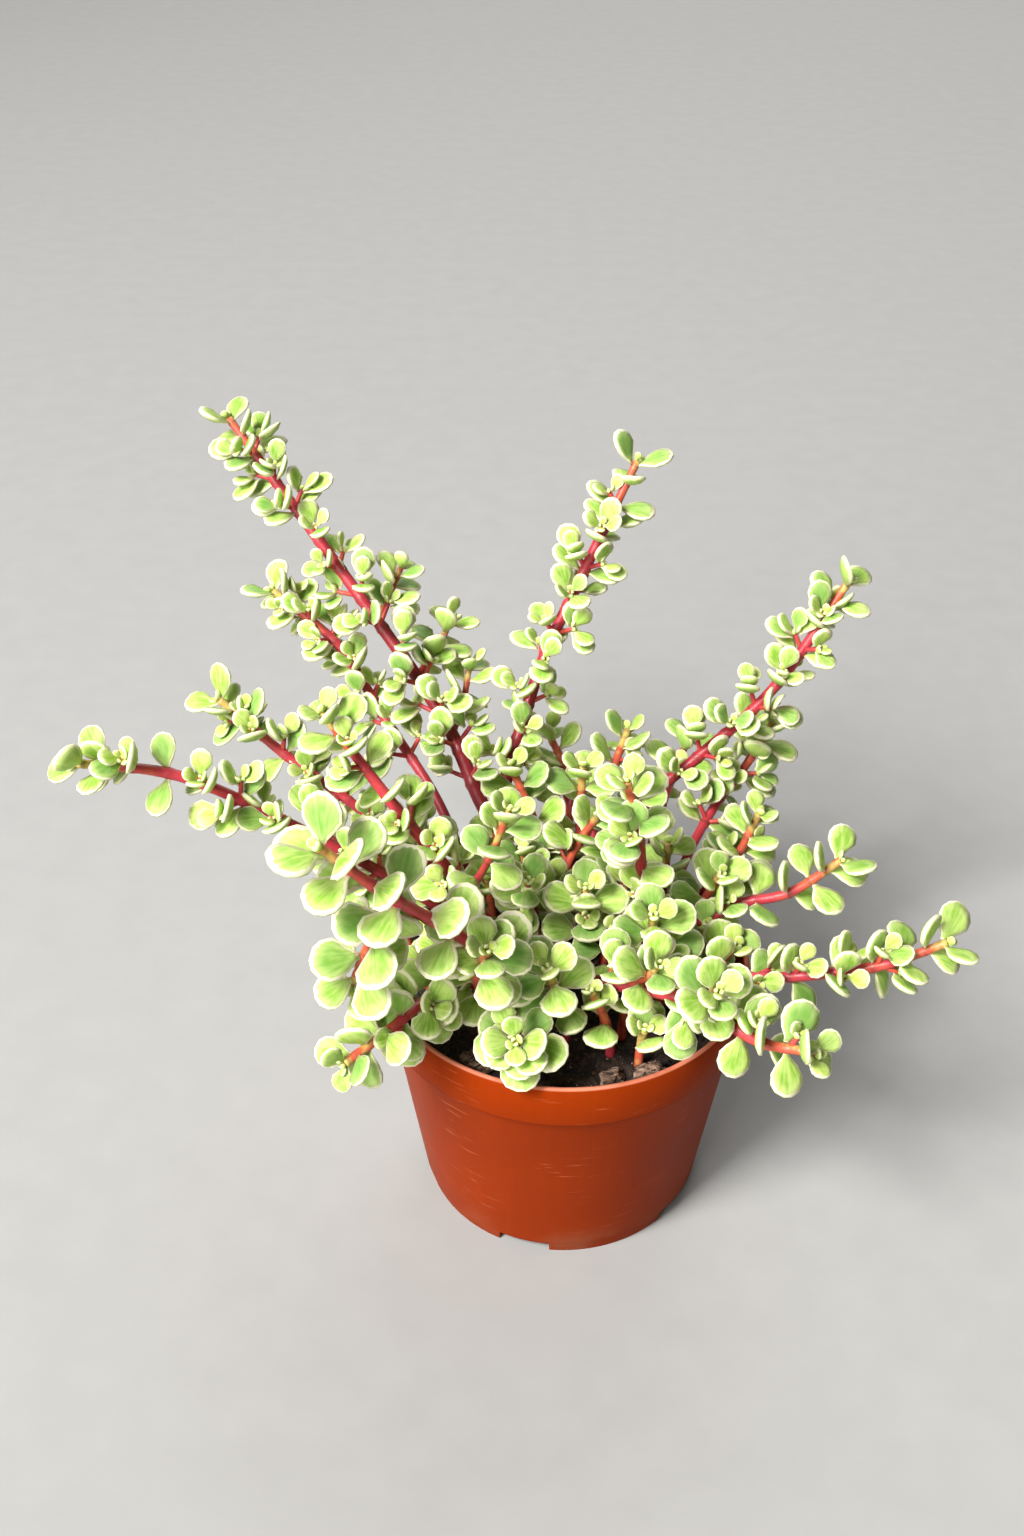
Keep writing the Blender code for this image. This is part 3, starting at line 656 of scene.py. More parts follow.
def stem(root, path, girth, gap=3.2, leafy=60, bare=8, axils=0.2, size=1.0, width=0.84, arms=()):
    """One leafy stem, from the soil to its tip, in millimetres.

    root is where it leaves the soil, and path holds the points that it grows
    through. girth is its diameter at the soil. gap is the distance between
    its two youngest pairs of leaves. Its own leaves stay for leafy from the
    tip, and bare at the foot has lost all leaves. axils is the share of leaf
    axils that have shot. size and width are those of its leaves. arms are
    larger side shoots, from the place on the stem through their own points.
    """
    return {"root": root, "path": path, "girth": girth, "gap": gap, "leafy": leafy, "bare": bare,
            "axils": axils, "size": size, "width": width, "arms": arms}


# The three low stems at the rear share what is not their route.
REAR_PLAN = {"leafy": 26, "bare": 22, "size": 0.95, "axils": 0.0}

STEMS = {
    "stem_tall_left": stem(
        (-12, 36), [(-18, 46, 96), (-28, 59, 108), (-42, 78, 132), (-75, 105, 171), (-115, 134, 217)],
        5.6, gap=6.0, leafy=45, bare=38, axils=0.5, size=0.92, width=0.76,
        arms=[[(-64, 96, 158), (-60, 104, 164), (-56, 111, 171)],
              [(-50, 85, 142), (-43, 98, 147), (-38, 108, 153)],
              [(-38, 73, 125), (-34, 86, 132), (-32, 97, 141)]]),
    "stem_tall_left_rear": stem(
        (-31, 36), [(-36, 47, 98), (-45, 64, 109), (-62, 84, 126), (-78, 98, 147), (-101, 109, 163)],
        3.6, gap=4.0, leafy=60, bare=44, axils=0.25, size=0.92, width=0.76),
    "stem_tall_middle": stem(
        (-20, 43), [(-24, 56, 97), (-19, 71, 109), (-7, 91, 143), (7, 104, 171), (26, 121, 207)],
        5.4, gap=6.5, leafy=45, bare=36, axils=0.75, size=0.92, width=0.76),
    "stem_right_rear": stem(
        (18, 44), [(24, 54, 97), (33, 64, 108), (48, 69, 120), (73, 78, 142), (97, 90, 177)],
        4.6, gap=6.5, leafy=45, bare=30, axils=0.8, size=0.92, width=0.76),
    "stem_right_rear_low": stem(
        (37, 32), [(43, 43, 96), (54, 62, 104), (66, 76, 112), (75, 84, 124)],
        3.2, bare=28, axils=0.3, size=0.95, width=0.8),
    "stem_long_left": stem(
        (-30, 9), [(-35, 8, 97), (-56, 5, 117), (-85, 3, 139), (-117, 2, 158), (-146, -4, 167)],
        3.8, gap=6.0, leafy=110, bare=32, axils=0.32, size=0.95, width=0.76),
    "stem_near_left": stem(
        (-14, -19), [(-14, -27, 98), (-18, -39, 117), (-33, -51, 141), (-51, -63, 165), (-67, -69, 185)],
        4.4, gap=4.6, leafy=110, bare=24, axils=0.0, size=1.16,
        arms=[[(-49, -61, 162), (-56, -61, 147), (-62, -60, 130)]]),
    "stem_upper_left": stem(
        (-34, 24), [(-38, 26, 96), (-47, 29, 107), (-72, 38, 124), (-92, 45, 137), (-113, 53, 153)],
        3.4, gap=4.0, leafy=90, bare=30, axils=0.3, size=0.92, width=0.8),
    "stem_inner_left": stem(
        (-18, 0),
        [(-22, 1, 97), (-31, 4, 109), (-40, 8, 122), (-51, 11, 136), (-66, 16, 157), (-75, 19, 170)],
        4.6, gap=3.2, leafy=60, bare=28, axils=0.25, size=0.92, width=0.84,
        arms=[[(-32, 4, 111), (-28, -3, 122), (-23, -7, 136), (-18, -6, 151)]]),
    "stem_middle_tiers": stem(
        (24, 8), [(25, 6, 100), (24, 5, 118), (22, 4, 138), (18, 5, 154)], 3.6, bare=14, axils=0.3),
    "stem_middle_low": stem(
        (-1, 30), [(0, 34, 93), (5, 39, 104), (12, 41, 115)], 2.8),
    "stem_middle_left": stem(
        (-9, 15), [(-10, 11, 99), (-12, 3, 117)], 2.8),
    "stem_middle_short": stem(
        (6, 4), [(6, 2, 100), (6, -2, 118)], 2.8),
    "stem_middle_right": stem(
        (25, -9), [(26, -12, 100), (26, -19, 121)], 2.8),
    "stem_trunk_front": stem(
        (-4, -8),
        [(-3, -15, 94), (4, -27, 102), (21, -37, 108), (39, -49, 112), (53, -64, 112), (68, -73, 116)],
        5.6, gap=3.4, leafy=60, bare=30, axils=0.3,
        arms=[[(35, -46, 111), (39, -54, 119), (41, -61, 128)],
              [(17, -35, 106), (23, -39, 114), (26, -43, 122)]]),
    "stem_long_right": stem(
        (36, -7), [(40, -13, 95), (52, -25, 102), (67, -30, 106), (93, -34, 114), (112, -34, 123)],
        3.4, gap=5.0, leafy=80, bare=22, axils=0.3, size=0.95, width=0.8),
    "stem_right": stem(
        (36, 7), [(39, 7, 93), (46, 6, 99), (57, 8, 104), (72, 7, 109), (87, 7, 122)],
        3.2, gap=4.4, bare=18, axils=0.5, size=0.95, width=0.84),
    "stem_right_short": stem(
        (45, 25), [(49, 27, 97), (58, 29, 108), (64, 32, 122)], 2.8, bare=12, axils=0.3, size=0.95),
    "stem_right_low": stem(
        (43, 16), [(46, 15, 99), (50, 10, 114)], 2.8),
    "stem_front": stem(
        (-12, -37), [(-13, -45, 95), (-16, -58, 106)], 2.8),
    "stem_front_left_tall": stem(
        (-26, -15), [(-27, -28, 100), (-27, -45, 120), (-24, -56, 139)], 2.8, bare=10),
    "stem_front_middle": stem(
        (0, -30), [(-2, -34, 98), (-7, -42, 120)], 2.8),
    "stem_over_rim": stem(
        (-35, -13), [(-37, -22, 96), (-42, -39, 106), (-51, -53, 108), (-65, -66, 105)],
        3.0, gap=3.2, bare=20, axils=0.2),
    "stem_rear_left": stem(
        (2, 47), [(3, 60, 95), (3, 84, 101), (-4, 99, 110)], 2.8, **REAR_PLAN),
    "stem_rear_middle": stem(
        (10, 48), [(12, 60, 96), (18, 79, 104), (25, 96, 113)], 2.8, **REAR_PLAN),
    "stem_rear_right": stem(
        (27, 39), [(32, 54, 95), (39, 78, 101), (48, 98, 110)], 2.8, **REAR_PLAN),
}

# Short shoots of the middle of the pot, which the measured solids leave out.
LOW_SHOOTS = "low_shoots"
PLANS = {**STEMS, LOW_SHOOTS: stem((0, 0), [], 2.6, size=0.92, width=0.92)}
print(len(STEMS), "stems")

# %% Curves, shoots and leaves
def smooth_line(points):
    """Points on a smooth curve through the given ones, close where it bends.

    The first length, which stands in the soil or in the stem, is straight.
    """
    points = [Vector(p) for p in points]
    ends = points + [points[-1] * 2 - points[-2]]
    line = [points[1]]
    for index in range(len(points) - 2):
        p0, p1, p2, p3 = ends[index:index + 4]
        count = max(1, round((p2 - p1).length / FINE_STEP))
        for k in range(1, count + 1):
            t = k / count
            line.append(0.5 * (2 * p1 + (p2 - p0) * t + (2 * p0 - 5 * p1 + 4 * p2 - p3) * t * t
                               + (3 * p1 - p0 - 3 * p2 + p3) * t * t * t))
    return [points[0]] + line


def thinned(line):
    """Drops the points of a line that its chords pass closely enough."""
    kept = [0]
    for index in range(2, len(line)):
        start, end = line[kept[-1]], line[index]
        way = (end - start).normalized()
        strays = [(p - start - way * (p - start).dot(way)).length for p in line[kept[-1] + 1:index]]
        if max(strays) > STRAY or (end - start).length > LONGEST:
            kept.append(index - 1)
    kept.append(len(line) - 1)
    return [line[index] for index in kept]


class Shoot:
    """A curved stem or side shoot: its centre line, its girth and its nodes."""

    def __init__(self, points, foot_radius, tip_radius):
        self.fine = smooth_line(points)
        self.points = [self.fine[0]] + thinned(self.fine[1:])
        self.foot_radius = foot_radius
        self.tip_radius = tip_radius
        self.marks = [0.0]
        for a, b in zip(self.points, self.points[1:]):
            self.marks.append(self.marks[-1] + (b - a).length)
        self.length = self.marks[-1]
        self.nodes = []
        self.tree = BVHTree.FromPolygons(*tube_mesh(self.points, [self.radius(m) for m in self.marks],
                                                    stem_sides(foot_radius)))

    def at(self, distance):
        """The point and the direction at a distance from the foot."""
        distance = min(max(distance, 0.0), self.length)
        index = 0
        while index < len(self.marks) - 2 and self.marks[index + 1] < distance:
            index += 1
        a, b = self.points[index], self.points[index + 1]
        part = (distance - self.marks[index]) / (self.marks[index + 1] - self.marks[index])
        return a.lerp(b, part), (b - a).normalized()

    def radius(self, distance):
        """The girth tapers slowly, and faster near the tip."""
        whole = distance / self.length
        near_tip = max(0.0, 1.0 - (self.length - distance) / TIP_TAPER)
        slow = self.foot_radius + (self.tip_radius * 1.35 - self.foot_radius) * whole
        return max(slow * (1.0 - near_tip) + self.tip_radius * near_tip, self.tip_radius)


class Leaf:
    """One leaf: where it is held, its blade's root, its directions and size."""

    def __init__(self, held, root, along, normal, length, width):
        self.held = held
        self.root = root
        self.width = width
        self.along = along
        self.side = along.cross(normal).normalized()
        self.normal = self.side.cross(along).normalized()
        self.length = length
        self.centre = (held + root + along * length) / 2
        self.reach = (root + along * length - held).length / 2 + LEAF_NEAR

    def settle(self):
        """Keeps this leaf's shape, once placed, for the tests of later leaves."""
        self.tree = BVHTree.FromPolygons(*leaf_mesh(self))
        self.blade_tree = BVHTree.FromPolygons(*blade_mesh(self))

    def point(self, along, side, up):
        """A point of the leaf, from shares of its length and from its lift."""
        return self.root + self.along * along + self.side * side + self.normal * up


def leaf_mesh(leaf, grow=0.0):
    """A leaf's points and triangles. grow makes it that much thicker all over.

    The points go round the edge from the root, and the last one is the keel
    of the fleshy underside. The edge near the root is low, so the upper face
    is a shallow cup, and the root is a three-sided spike.
    """
    length = leaf.length
    width = length * leaf.width / 2
    thick = LEAF_THICKNESS * min(1.0, 0.5 + 0.5 * length / LEAF_LENGTH)
    half = SMALL_HALF if length < SMALL_LEAF else LARGE_HALF
    lift = 0.03 * length + grow
    out = 2.4 * grow
    points = [leaf.held - (leaf.point(0.5 * length, 0, 0) - leaf.held).normalized() * grow]
    points += [leaf.point(a * length, -s * width - out, lift) for a, s in half]
    points += [leaf.point(length + out, 0, lift * 1.3)]
    points += [leaf.point(a * length, s * width + out, lift) for a, s in reversed(half)]
    count = len(points)
    points.append(leaf.point(0.55 * length, 0, -thick - grow))
    tip = count // 2
    faces = [(1, 0, count - 1), (tip, tip - 1, tip + 1)]
    for k in range(1, tip - 1):
        faces += [(k + 1, k, count - k), (count - k - 1, k + 1, count - k)]
    faces += [(k, (k + 1) % count, count) for k in range(count)]
    return points, faces


def blade_mesh(leaf):
    """A blade without the narrow root, for tests in its own node."""
    points, faces = leaf_mesh(leaf)
    return [leaf.point(0.22 * leaf.length, 0, 0)] + points[1:], faces


def tube_mesh(line, radii, sides):
    """A closed tube round a line, with a pointed cap at each end."""
    points = []
    faces = []
    direction = (line[1] - line[0]).normalized()
    across = direction.orthogonal().normalized()
    for index, centre in enumerate(line):
        before = line[max(index - 1, 0)]
        after = line[min(index + 1, len(line) - 1)]
        direction = (after - before).normalized()
        across = (across - direction * across.dot(direction)).normalized()
        up = direction.cross(across)
        for k in range(sides):
            turn = 2 * math.pi * k / sides
            points.append(centre + (across * math.cos(turn) + up * math.sin(turn)) * radii[index])
    for index in range(len(line) - 1):
        for k in range(sides):
            a = index * sides + k
            b = index * sides + (k + 1) % sides
            faces.append((a, b, b + sides, a + sides))
    foot = len(points)
    points.append(line[0] - (line[1] - line[0]).normalized() * radii[0] * 0.3)
    points.append(line[-1] + (line[-1] - line[-2]).normalized() * radii[-1] * 0.9)
    last = (len(line) - 1) * sides
    for k in range(sides):
        faces.append(((k + 1) % sides, k, foot))
        faces.append((last + k, last + (k + 1) % sides, foot + 1))
    return points, faces


def stem_sides(radius):
    """How many flat sides a tube of this radius gets."""
    return 6 if radius > 2.0 else 5


def near_line(leaf, shoot):
    """Whether any length of a shoot's line is near a leaf."""
    for start, end in zip(shoot.points, shoot.points[1:]):
        nearest, share = intersect_point_line(leaf.centre, start, end)
        nearest = start if share < 0 else end if share > 1 else nearest
        if (nearest - leaf.centre).length < leaf.reach + LEAF_NEAR:
            return True
    return False


def clear_of_pot(leaf):
    """Whether a leaf stays off the soil, the rim and the pot's wall."""
    points, _ = leaf_mesh(leaf, 0.6)
    middles = [(points[k] + points[(k + 1) % (len(points) - 2)]) / 2 for k in range(len(points) - 2)]
    for point in points[1:] + middles[1:-1]:
        radius = math.hypot(point.x, point.y)
        inside = radius < RIM_RADIUS - 2.5
        if inside and point.z < SOIL_TOP + OVER_SOIL:
            return False
        if not inside and radius < RIM_RADIUS + OVER_RIM and point.z < POT_HEIGHT + OVER_RIM:
            return False
    return True


print("rule ready")

# %% The rule of growth
class Plant:
    """Every stem of the plant, with the leaves placed so far."""

    def __init__(self):
        self.shoots = {}
        self.leaves = {}
        self.side_shoots = {}
        self.bare_axils = {}

    def add_stems(self):
        """Lays every stem's and every side shoot's centre line."""
        for name, plan in STEMS.items():
            x, y = plan["root"]
            route = [(x, y, STEM_FOOT), (x, y, STEM_COLLAR)] + plan["path"]
            self.shoots[name] = [Shoot(route, plan["girth"] / 2, SHOOT_TIP_RADIUS)]
            self.leaves[name] = []
            self.side_shoots[name] = []
            self.bare_axils[name] = []
            for arm in plan["arms"]:
                self.shoots[name].append(Shoot(arm, SHOOT_TIP_RADIUS, ARM_TIP_RADIUS))

    def clear(self, name, leaf, own_shoot):
        """Whether a leaf misses all other nodes and its own node's blades."""
        if not clear_of_pot(leaf):
            return False
        grown = BVHTree.FromPolygons(*leaf_mesh(leaf, CLEARANCE))
        blade = BVHTree.FromPolygons(*blade_mesh(leaf))
        for other, leaves in self.leaves.items():
            for placed in leaves:
                if (placed.centre - leaf.centre).length > placed.reach + leaf.reach:
                    continue
                if other == name and blade.overlap(placed.blade_tree):
                    return False
                if other != name and grown.overlap(placed.tree):
                    return False
        for other, shoots in self.shoots.items():
            for shoot in shoots:
                if shoot is not own_shoot and near_line(leaf, shoot):
                    if (blade if other == name else grown).overlap(shoot.tree):
                        return False
        return True

    def try_leaf(self, name, shoot, held, direction, spoke, lean, length, stalk=0.0):
        """Places one leaf, turned or shrunk where its first place is taken.

        It leaves the direction by lean degrees, towards the spoke, and its
        upper side turns from that direction towards the light. A stalk along
        the direction carries the blade away from where the leaf is held.
        """
        across = direction.cross(spoke)
        for tilt, turn, scale in TRIES:
            angle = math.radians(lean + tilt)
            radial = spoke * math.cos(math.radians(turn)) + across * math.sin(math.radians(turn))
            along = (direction * math.cos(angle) + radial * math.sin(angle) + LIGHT * LIGHT_PULL).normalized()
            facing = (direction - along * direction.dot(along)).normalized()
            to_light = LIGHT - along * LIGHT.dot(along)
            normal = (facing * FACE_STEM + to_light * FACE_LIGHT).normalized()
            root = held + along * LEAF_NECK + direction * stalk
            leaf = Leaf(held - radial * 0.25, root, along, normal, length * scale, PLANS[name]["width"])
            if self.clear(name, leaf, shoot):
                leaf.settle()
                self.leaves[name].append(leaf)
                return leaf
        return None

    def grow_pairs(self, name, shoot, rng, gap, bare, leafy):
        """Opposite leaves from the tip down, each pair a quarter turn on."""
        axils = []
        behind = gap * 0.35
        turn = rng.uniform(0, math.pi)
        youngest = YOUNG_CLOSE if gap < CLOSE_GAP else YOUNG_LOOSE
        while shoot.length - behind > bare:
            root, direction = shoot.at(shoot.length - behind)
            shoot.nodes.append(shoot.length - behind)
            side = direction.cross(LIGHT).normalized()
            over = side.cross(direction)
            grown = min(1.0, youngest + behind / GROWING_LENGTH)
            lean = min(WIDEST_LEAN, UPRIGHT_LEAN + behind * LEAN_PER_MM)
            for half in range(2):
                azimuth = turn + math.pi * half + rng.uniform(-0.2, 0.2)
                spoke = side * math.cos(azimuth) + over * math.sin(azimuth)
                length = LEAF_LENGTH * PLANS[name]["size"] * grown * rng.uniform(0.92, 1.08)
                tilt = lean + rng.uniform(-7, 7)
                if behind < leafy:
                    self.try_leaf(name, shoot, root, direction, spoke, tilt, length)
                axils.append((behind, root, direction, spoke))
            turn += math.pi / 2 + rng.uniform(-0.15, 0.15)
            behind += gap
            gap = min(gap * GAP_GROWTH, WIDEST_GAP)
        return axils

    def grow_axils(self, name, shoot, rng, axils):
        """Short shoots in the axils of the older leaves, each with a pair."""
        for behind, root, direction, spoke in axils:
            draw = rng.random()
            spin = rng.uniform(0, math.pi)
            if behind < YOUNGEST_AXIL or draw > PLANS[name]["axils"]:
                self.bare_axils[name].append((behind, root, direction, spoke, shoot))
                continue
            heading = (direction * 0.35 + spoke * 0.85 + LIGHT * 0.6).normalized()
            side = heading.cross(direction).normalized()
            over = side.cross(heading)
            base = root + direction * 2.0 + spoke * shoot.radius(shoot.length - behind) * 0.3
            stalk = min(SHORTEST_STALK + behind * STALK_PER_MM, LONGEST_STALK)
            for half in range(2):
                azimuth = spin + math.pi * half
                outward = side * math.cos(azimuth) + over * math.sin(azimuth)
                length = LEAF_LENGTH * PLANS[name]["size"] * rng.uniform(0.86, 1.0)
                self.try_leaf(name, shoot, base, heading, outward, SHOOT_LEAN, length, stalk)
            self.side_shoots[name].append((base, heading, spin, stalk, shoot))


def grow_plant():
    """Grows the whole plant. The stems nearest the front choose first."""
    plant = Plant()
    plant.add_stems()
    order = sorted(STEMS, key=lambda name: plant.shoots[name][0].points[-1].y)
    draws = {name: random.Random(sum(map(ord, name))) for name in order}
    axils = {}
    for name in order:
        main, *arms = plant.shoots[name]
        gap, bare, leafy = (STEMS[name][key] for key in ("gap", "bare", "leafy"))
        axils[name] = plant.grow_pairs(name, main, draws[name], gap, bare + STEM_COLLAR - STEM_FOOT, leafy)
        for arm in arms:
            plant.grow_pairs(name, arm, draws[name], ARM_GAP, ARM_BARE, arm.length)
    for name in order:
        plant.grow_axils(name, plant.shoots[name][0], draws[name], axils[name])
    return plant


plant = grow_plant()
print("leaves of the measured solids:", sum(map(len, plant.leaves.values())))

# %% [markdown]
# ## The leaves that the solids leave out
#
# Close to, the plant has more leaves than the solids can afford. Each short side
# shoot holds a second pair across its first, and a bud. Most bare axils have a short
# shoot of their own, the longer the farther from the tip. Every tip ends in a bud of
# leaves that are still only 2 to 4 mm long. The rosette at the front gets low outer
# leaves as well, where they fit. All of these grow after the others, so they move
# none of them.

# %% Tip buds, second pairs and axil shoots
BUD_SIZE = 3.6
SECOND_LEAN = 46.0

# An axil shoot grows only so far from the tip, and where a draw is below the share.
AXIL_FROM = 9.0
AXIL_SHARE = 0.9
FEW_AXILS = {"stem_near_left": 0.0, "stem_trunk_front": 0.4, "stem_over_rim": 0.7, "stem_long_left": 0.6,
             "stem_long_right": 0.5, "stem_inner_left": 0.6}
SHORT_STEM = 90.0
SHORT_SHARE = 0.25
AXIL_LEAN = 56.0
AXIL_INNER_LEAN = 44.0
STRONG_AXIL = 0.72

# The front rosette's outer leaves: how far below the tip, and towards what.
OUTER_LEAVES = [(6.5, (0.3, -0.7, -0.7)), (6.5, (-0.5, -0.6, -0.6)), (9.5, (0.9, -0.4, -0.2)),
                (9.5, (-0.9, -0.3, -0.2)), (9.5, (0.0, -0.7, -0.7))]
OUTER_LENGTH = 15.0
OUTER_LEAN = 84.0


def around(heading, spin):
    """The direction across a heading in which a leaf at this turn leaves it."""
    side = heading.cross(LIGHT).normalized()
    over = side.cross(heading)
    return side * math.cos(spin) + over * math.sin(spin)


def add_bud(name, point, heading, rng, size):
    """Two crossed pairs of tiny leaves round a growing point.

    They are placed without a test, as they lie inside a rosette.
    """
    spin = rng.uniform(0, math.pi)
    for pair, (lean, share) in enumerate(((40.0, 1.0), (18.0, 0.55))):
        for half in range(2):
            spoke = around(heading, spin + math.pi * half + math.pi / 2 * pair)
            root = point + spoke * 0.3
            angle = math.radians(lean)
            along = (heading * math.cos(angle) + spoke * math.sin(angle)).normalized()
            normal = (heading - along * heading.dot(along)).normalized()
            leaf = Leaf(root, root, along, normal, size * share, PLANS[name]["width"])
            leaf.settle()
            plant.leaves[name].append(leaf)


def add_pair(name, shoot, base, heading, spin, lean, length, rise):
    """Two opposite leaves at a height on a short side shoot."""
    for half in range(2):
        plant.try_leaf(name, shoot, base, heading, around(heading, spin + math.pi * half), lean, length, rise)


def add_second_pair(name, place, rng):
    """A second pair and a bud at the end of a short side shoot."""
    base, heading, spin, stalk, shoot = place
    length = LEAF_LENGTH * PLANS[name]["size"] * rng.uniform(0.6, 0.8)
    add_pair(name, shoot, base, heading, spin + math.pi / 2, SECOND_LEAN, length, stalk + 1.3)
    add_bud(name, base + heading * (stalk + 1.6), heading, rng, BUD_SIZE)


def add_axil_shoot(name, place, rng):
    """A short shoot in a bare axil: one or two pairs of leaves and a bud."""
    behind, root, direction, spoke, shoot = place
    vigour = min(1.0, 0.5 + behind / 50.0) * rng.uniform(0.8, 1.08)
    heading = (direction * 0.5 + spoke * 0.85 + LIGHT * 0.4).normalized()
    base = root + direction * 1.5 + spoke * shoot.radius(shoot.length - behind) * 0.4
    spin = rng.uniform(0, math.pi)
    length = LEAF_LENGTH * PLANS[name]["size"] * vigour
    stalk = 0.6 + 3.4 * vigour
    add_pair(name, shoot, base, heading, spin, AXIL_LEAN, length * 0.84, stalk)
    if vigour > STRONG_AXIL:
        add_pair(name, shoot, base, heading, spin + math.pi / 2, AXIL_INNER_LEAN, length * 0.6, stalk + 1.2)
    add_bud(name, base + heading * (stalk + 1.0), heading, rng, BUD_SIZE * 0.8)
    return base, heading, spin, stalk, shoot


front = plant.shoots["stem_front"][0]
count = len(plant.leaves["stem_front"])
for behind, aim in OUTER_LEAVES:
    root, direction = front.at(front.length - behind)
    spoke = (Vector(aim) - direction * direction.dot(Vector(aim))).normalized()
    plant.try_leaf("stem_front", front, root, direction, spoke, OUTER_LEAN, OUTER_LENGTH)
print("outer leaves of the front rosette:", len(plant.leaves["stem_front"]) - count)

for name in sorted(STEMS):
    rng = random.Random(sum(map(ord, name)) + 500)
    for place in plant.side_shoots[name]:
        add_second_pair(name, place, rng)
    usual = SHORT_SHARE if plant.shoots[name][0].length < SHORT_STEM else AXIL_SHARE
    for place in plant.bare_axils[name]:
        if place[0] > AXIL_FROM and rng.random() < FEW_AXILS.get(name, usual):
            plant.side_shoots[name].append(add_axil_shoot(name, place, rng))
    for shoot in plant.shoots[name]:
        add_bud(name, shoot.points[-1], shoot.at(shoot.length)[1], rng, BUD_SIZE)
print("leaves with the small ones:", sum(map(len, plant.leaves.values())))

# %% [markdown]
# ## Low shoots in the middle of the pot
#
# Between the feet of the stems the soil is full of short shoots, 10 to 24 mm high,
# and higher towards the rear. Their places follow a sunflower's spiral, in which
# every next one is a golden angle on, so they spread evenly. A place too near a
# stem's foot stays empty, and so does the strip along the front, where the soil lies
# open, but for a small clump at its right.

# %% The low shoots
LOW_COUNT = 88
LOW_REACH = 54.0
LOW_HEIGHT = (10.0, 24.0)
LOW_RADIUS = 1.5
LOW_GAP = 3.2
LOW_BARE = 4.0
# How much higher a shoot is for each millimetre that it stands towards the rear.
REAR_HEIGHT = 0.42
# The ways a shoot may lean, outwards and sideways, as shares of its height.
LOW_LEANS = [(0.16, 0.0), (0.0, -0.3), (0.3, 0.3), (-0.2, 0.2), (0.35, -0.2)]
OPEN_FRONT = -12.0
FRONT_CLUMP = (22.0, -32.0)
CLUMP_REACH = 14.0
FOOT_SPACE = 3.2
GOLDEN_ANGLE = math.pi * (3.0 - math.sqrt(5.0))


def shoot_is_clear(shoot):
    """Whether a new shoot misses every leaf and every stem."""
    taken = [leaf.tree for leaves in plant.leaves.values() for leaf in leaves]
    taken += [other.tree for shoots in plant.shoots.values() for other in shoots]
    return not any(shoot.tree.overlap(tree) for tree in taken)


def clear_of_feet(x, y, space):
    """Whether a place has that much space to every stem's foot."""
    return all(math.dist((x, y), plan["root"]) >= space + plan["girth"] / 2 for plan in STEMS.values())


def low_shoot(x, y, height):
    """A shoot from a place on the soil, leaning whichever way is free."""
    outwards = Vector((x, y, 0)).normalized()
    sideways = Vector((-outwards.y, outwards.x, 0))
    for out, aside in LOW_LEANS:
        lean = (outwards * out + sideways * aside) * height
        foot = Vector((x, y, STEM_COLLAR))
        middle = foot + lean * 0.35 + Vector((0, 0, height * 0.5))
        points = [(x, y, STEM_FOOT), foot - Vector((0, 0, 2)), middle, foot + lean + Vector((0, 0, height))]
        shoot = Shoot(points, LOW_RADIUS, SHOOT_TIP_RADIUS)
        if shoot_is_clear(shoot):
            return shoot
    return None


for part in (plant.shoots, plant.leaves, plant.side_shoots):
    part[LOW_SHOOTS] = []
rng = random.Random(77)
for number in range(LOW_COUNT):
    radius = LOW_REACH * math.sqrt((number + 0.5) / LOW_COUNT)
    x, y = radius * math.cos(number * GOLDEN_ANGLE), radius * math.sin(number * GOLDEN_ANGLE)
    height = rng.uniform(*LOW_HEIGHT) + REAR_HEIGHT * max(0.0, y)
    open_soil = y < OPEN_FRONT and math.dist((x, y), FRONT_CLUMP) > CLUMP_REACH
    if open_soil or not clear_of_feet(x, y, FOOT_SPACE):
        continue
    shoot = low_shoot(x, y, height)
    if shoot:
        plant.shoots[LOW_SHOOTS].append(shoot)
        plant.grow_pairs(LOW_SHOOTS, shoot, rng, LOW_GAP, STEM_COLLAR - STEM_FOOT + LOW_BARE, shoot.length)
        add_bud(LOW_SHOOTS, shoot.points[-1], shoot.at(shoot.length)[1], rng, BUD_SIZE)
print(len(plant.shoots[LOW_SHOOTS]), "low shoots with", len(plant.leaves[LOW_SHOOTS]), "leaves")

# %% [markdown]
# ## The leaf's finish
#
# The middle of a leaf is green and its edge is cream, but the border between them is
# not a clean line: the green reaches out in feathered streaks that fan from the
# leaf's root. So the finish reads five values that each leaf keeps at its points:
# how far inside the edge a point is, whether it is on the underside, a number that
# differs from leaf to leaf, how young the leaf is, and how wide its cream edge is.
# The streaks come from a noise in fan coordinates, which are the angle and the
# distance from the root.

# %% The leaf's finish
leaf_skin, tree, shader = new_finish("variegated_leaf_detail", 0.36)
chart = tree.nodes.new("ShaderNodeUVMap")
chart.uv_map = "leaf_chart"
split = tree.nodes.new("ShaderNodeSeparateXYZ")
tree.links.new(chart.outputs["UV"], split.inputs["Vector"])
along, across = split.outputs["X"], minus(split.outputs["Y"], 0.5)
fan = maths("ARCTAN2", across, plus(along, 0.12))
away = maths("SQRT", plus(times(along, along), times(across, across)))
leaf_number = stored("leaf_number")
youth = stored("youth")
inward = stored("inward")
under = stored("under")
margin = stored("margin")


def fan_noise(turns, lengths, offset, detail):
    """A noise that is drawn out along the fan of veins."""
    joined = tree.nodes.new("ShaderNodeCombineXYZ")
    feed(joined.inputs["X"], times(fan, turns))
    feed(joined.inputs["Y"], times(away, lengths))
    feed(joined.inputs["Z"], maths("MULTIPLY_ADD", leaf_number, 97.0, offset))
    return speckle(joined.outputs[0], 1.0, detail, 0.6)


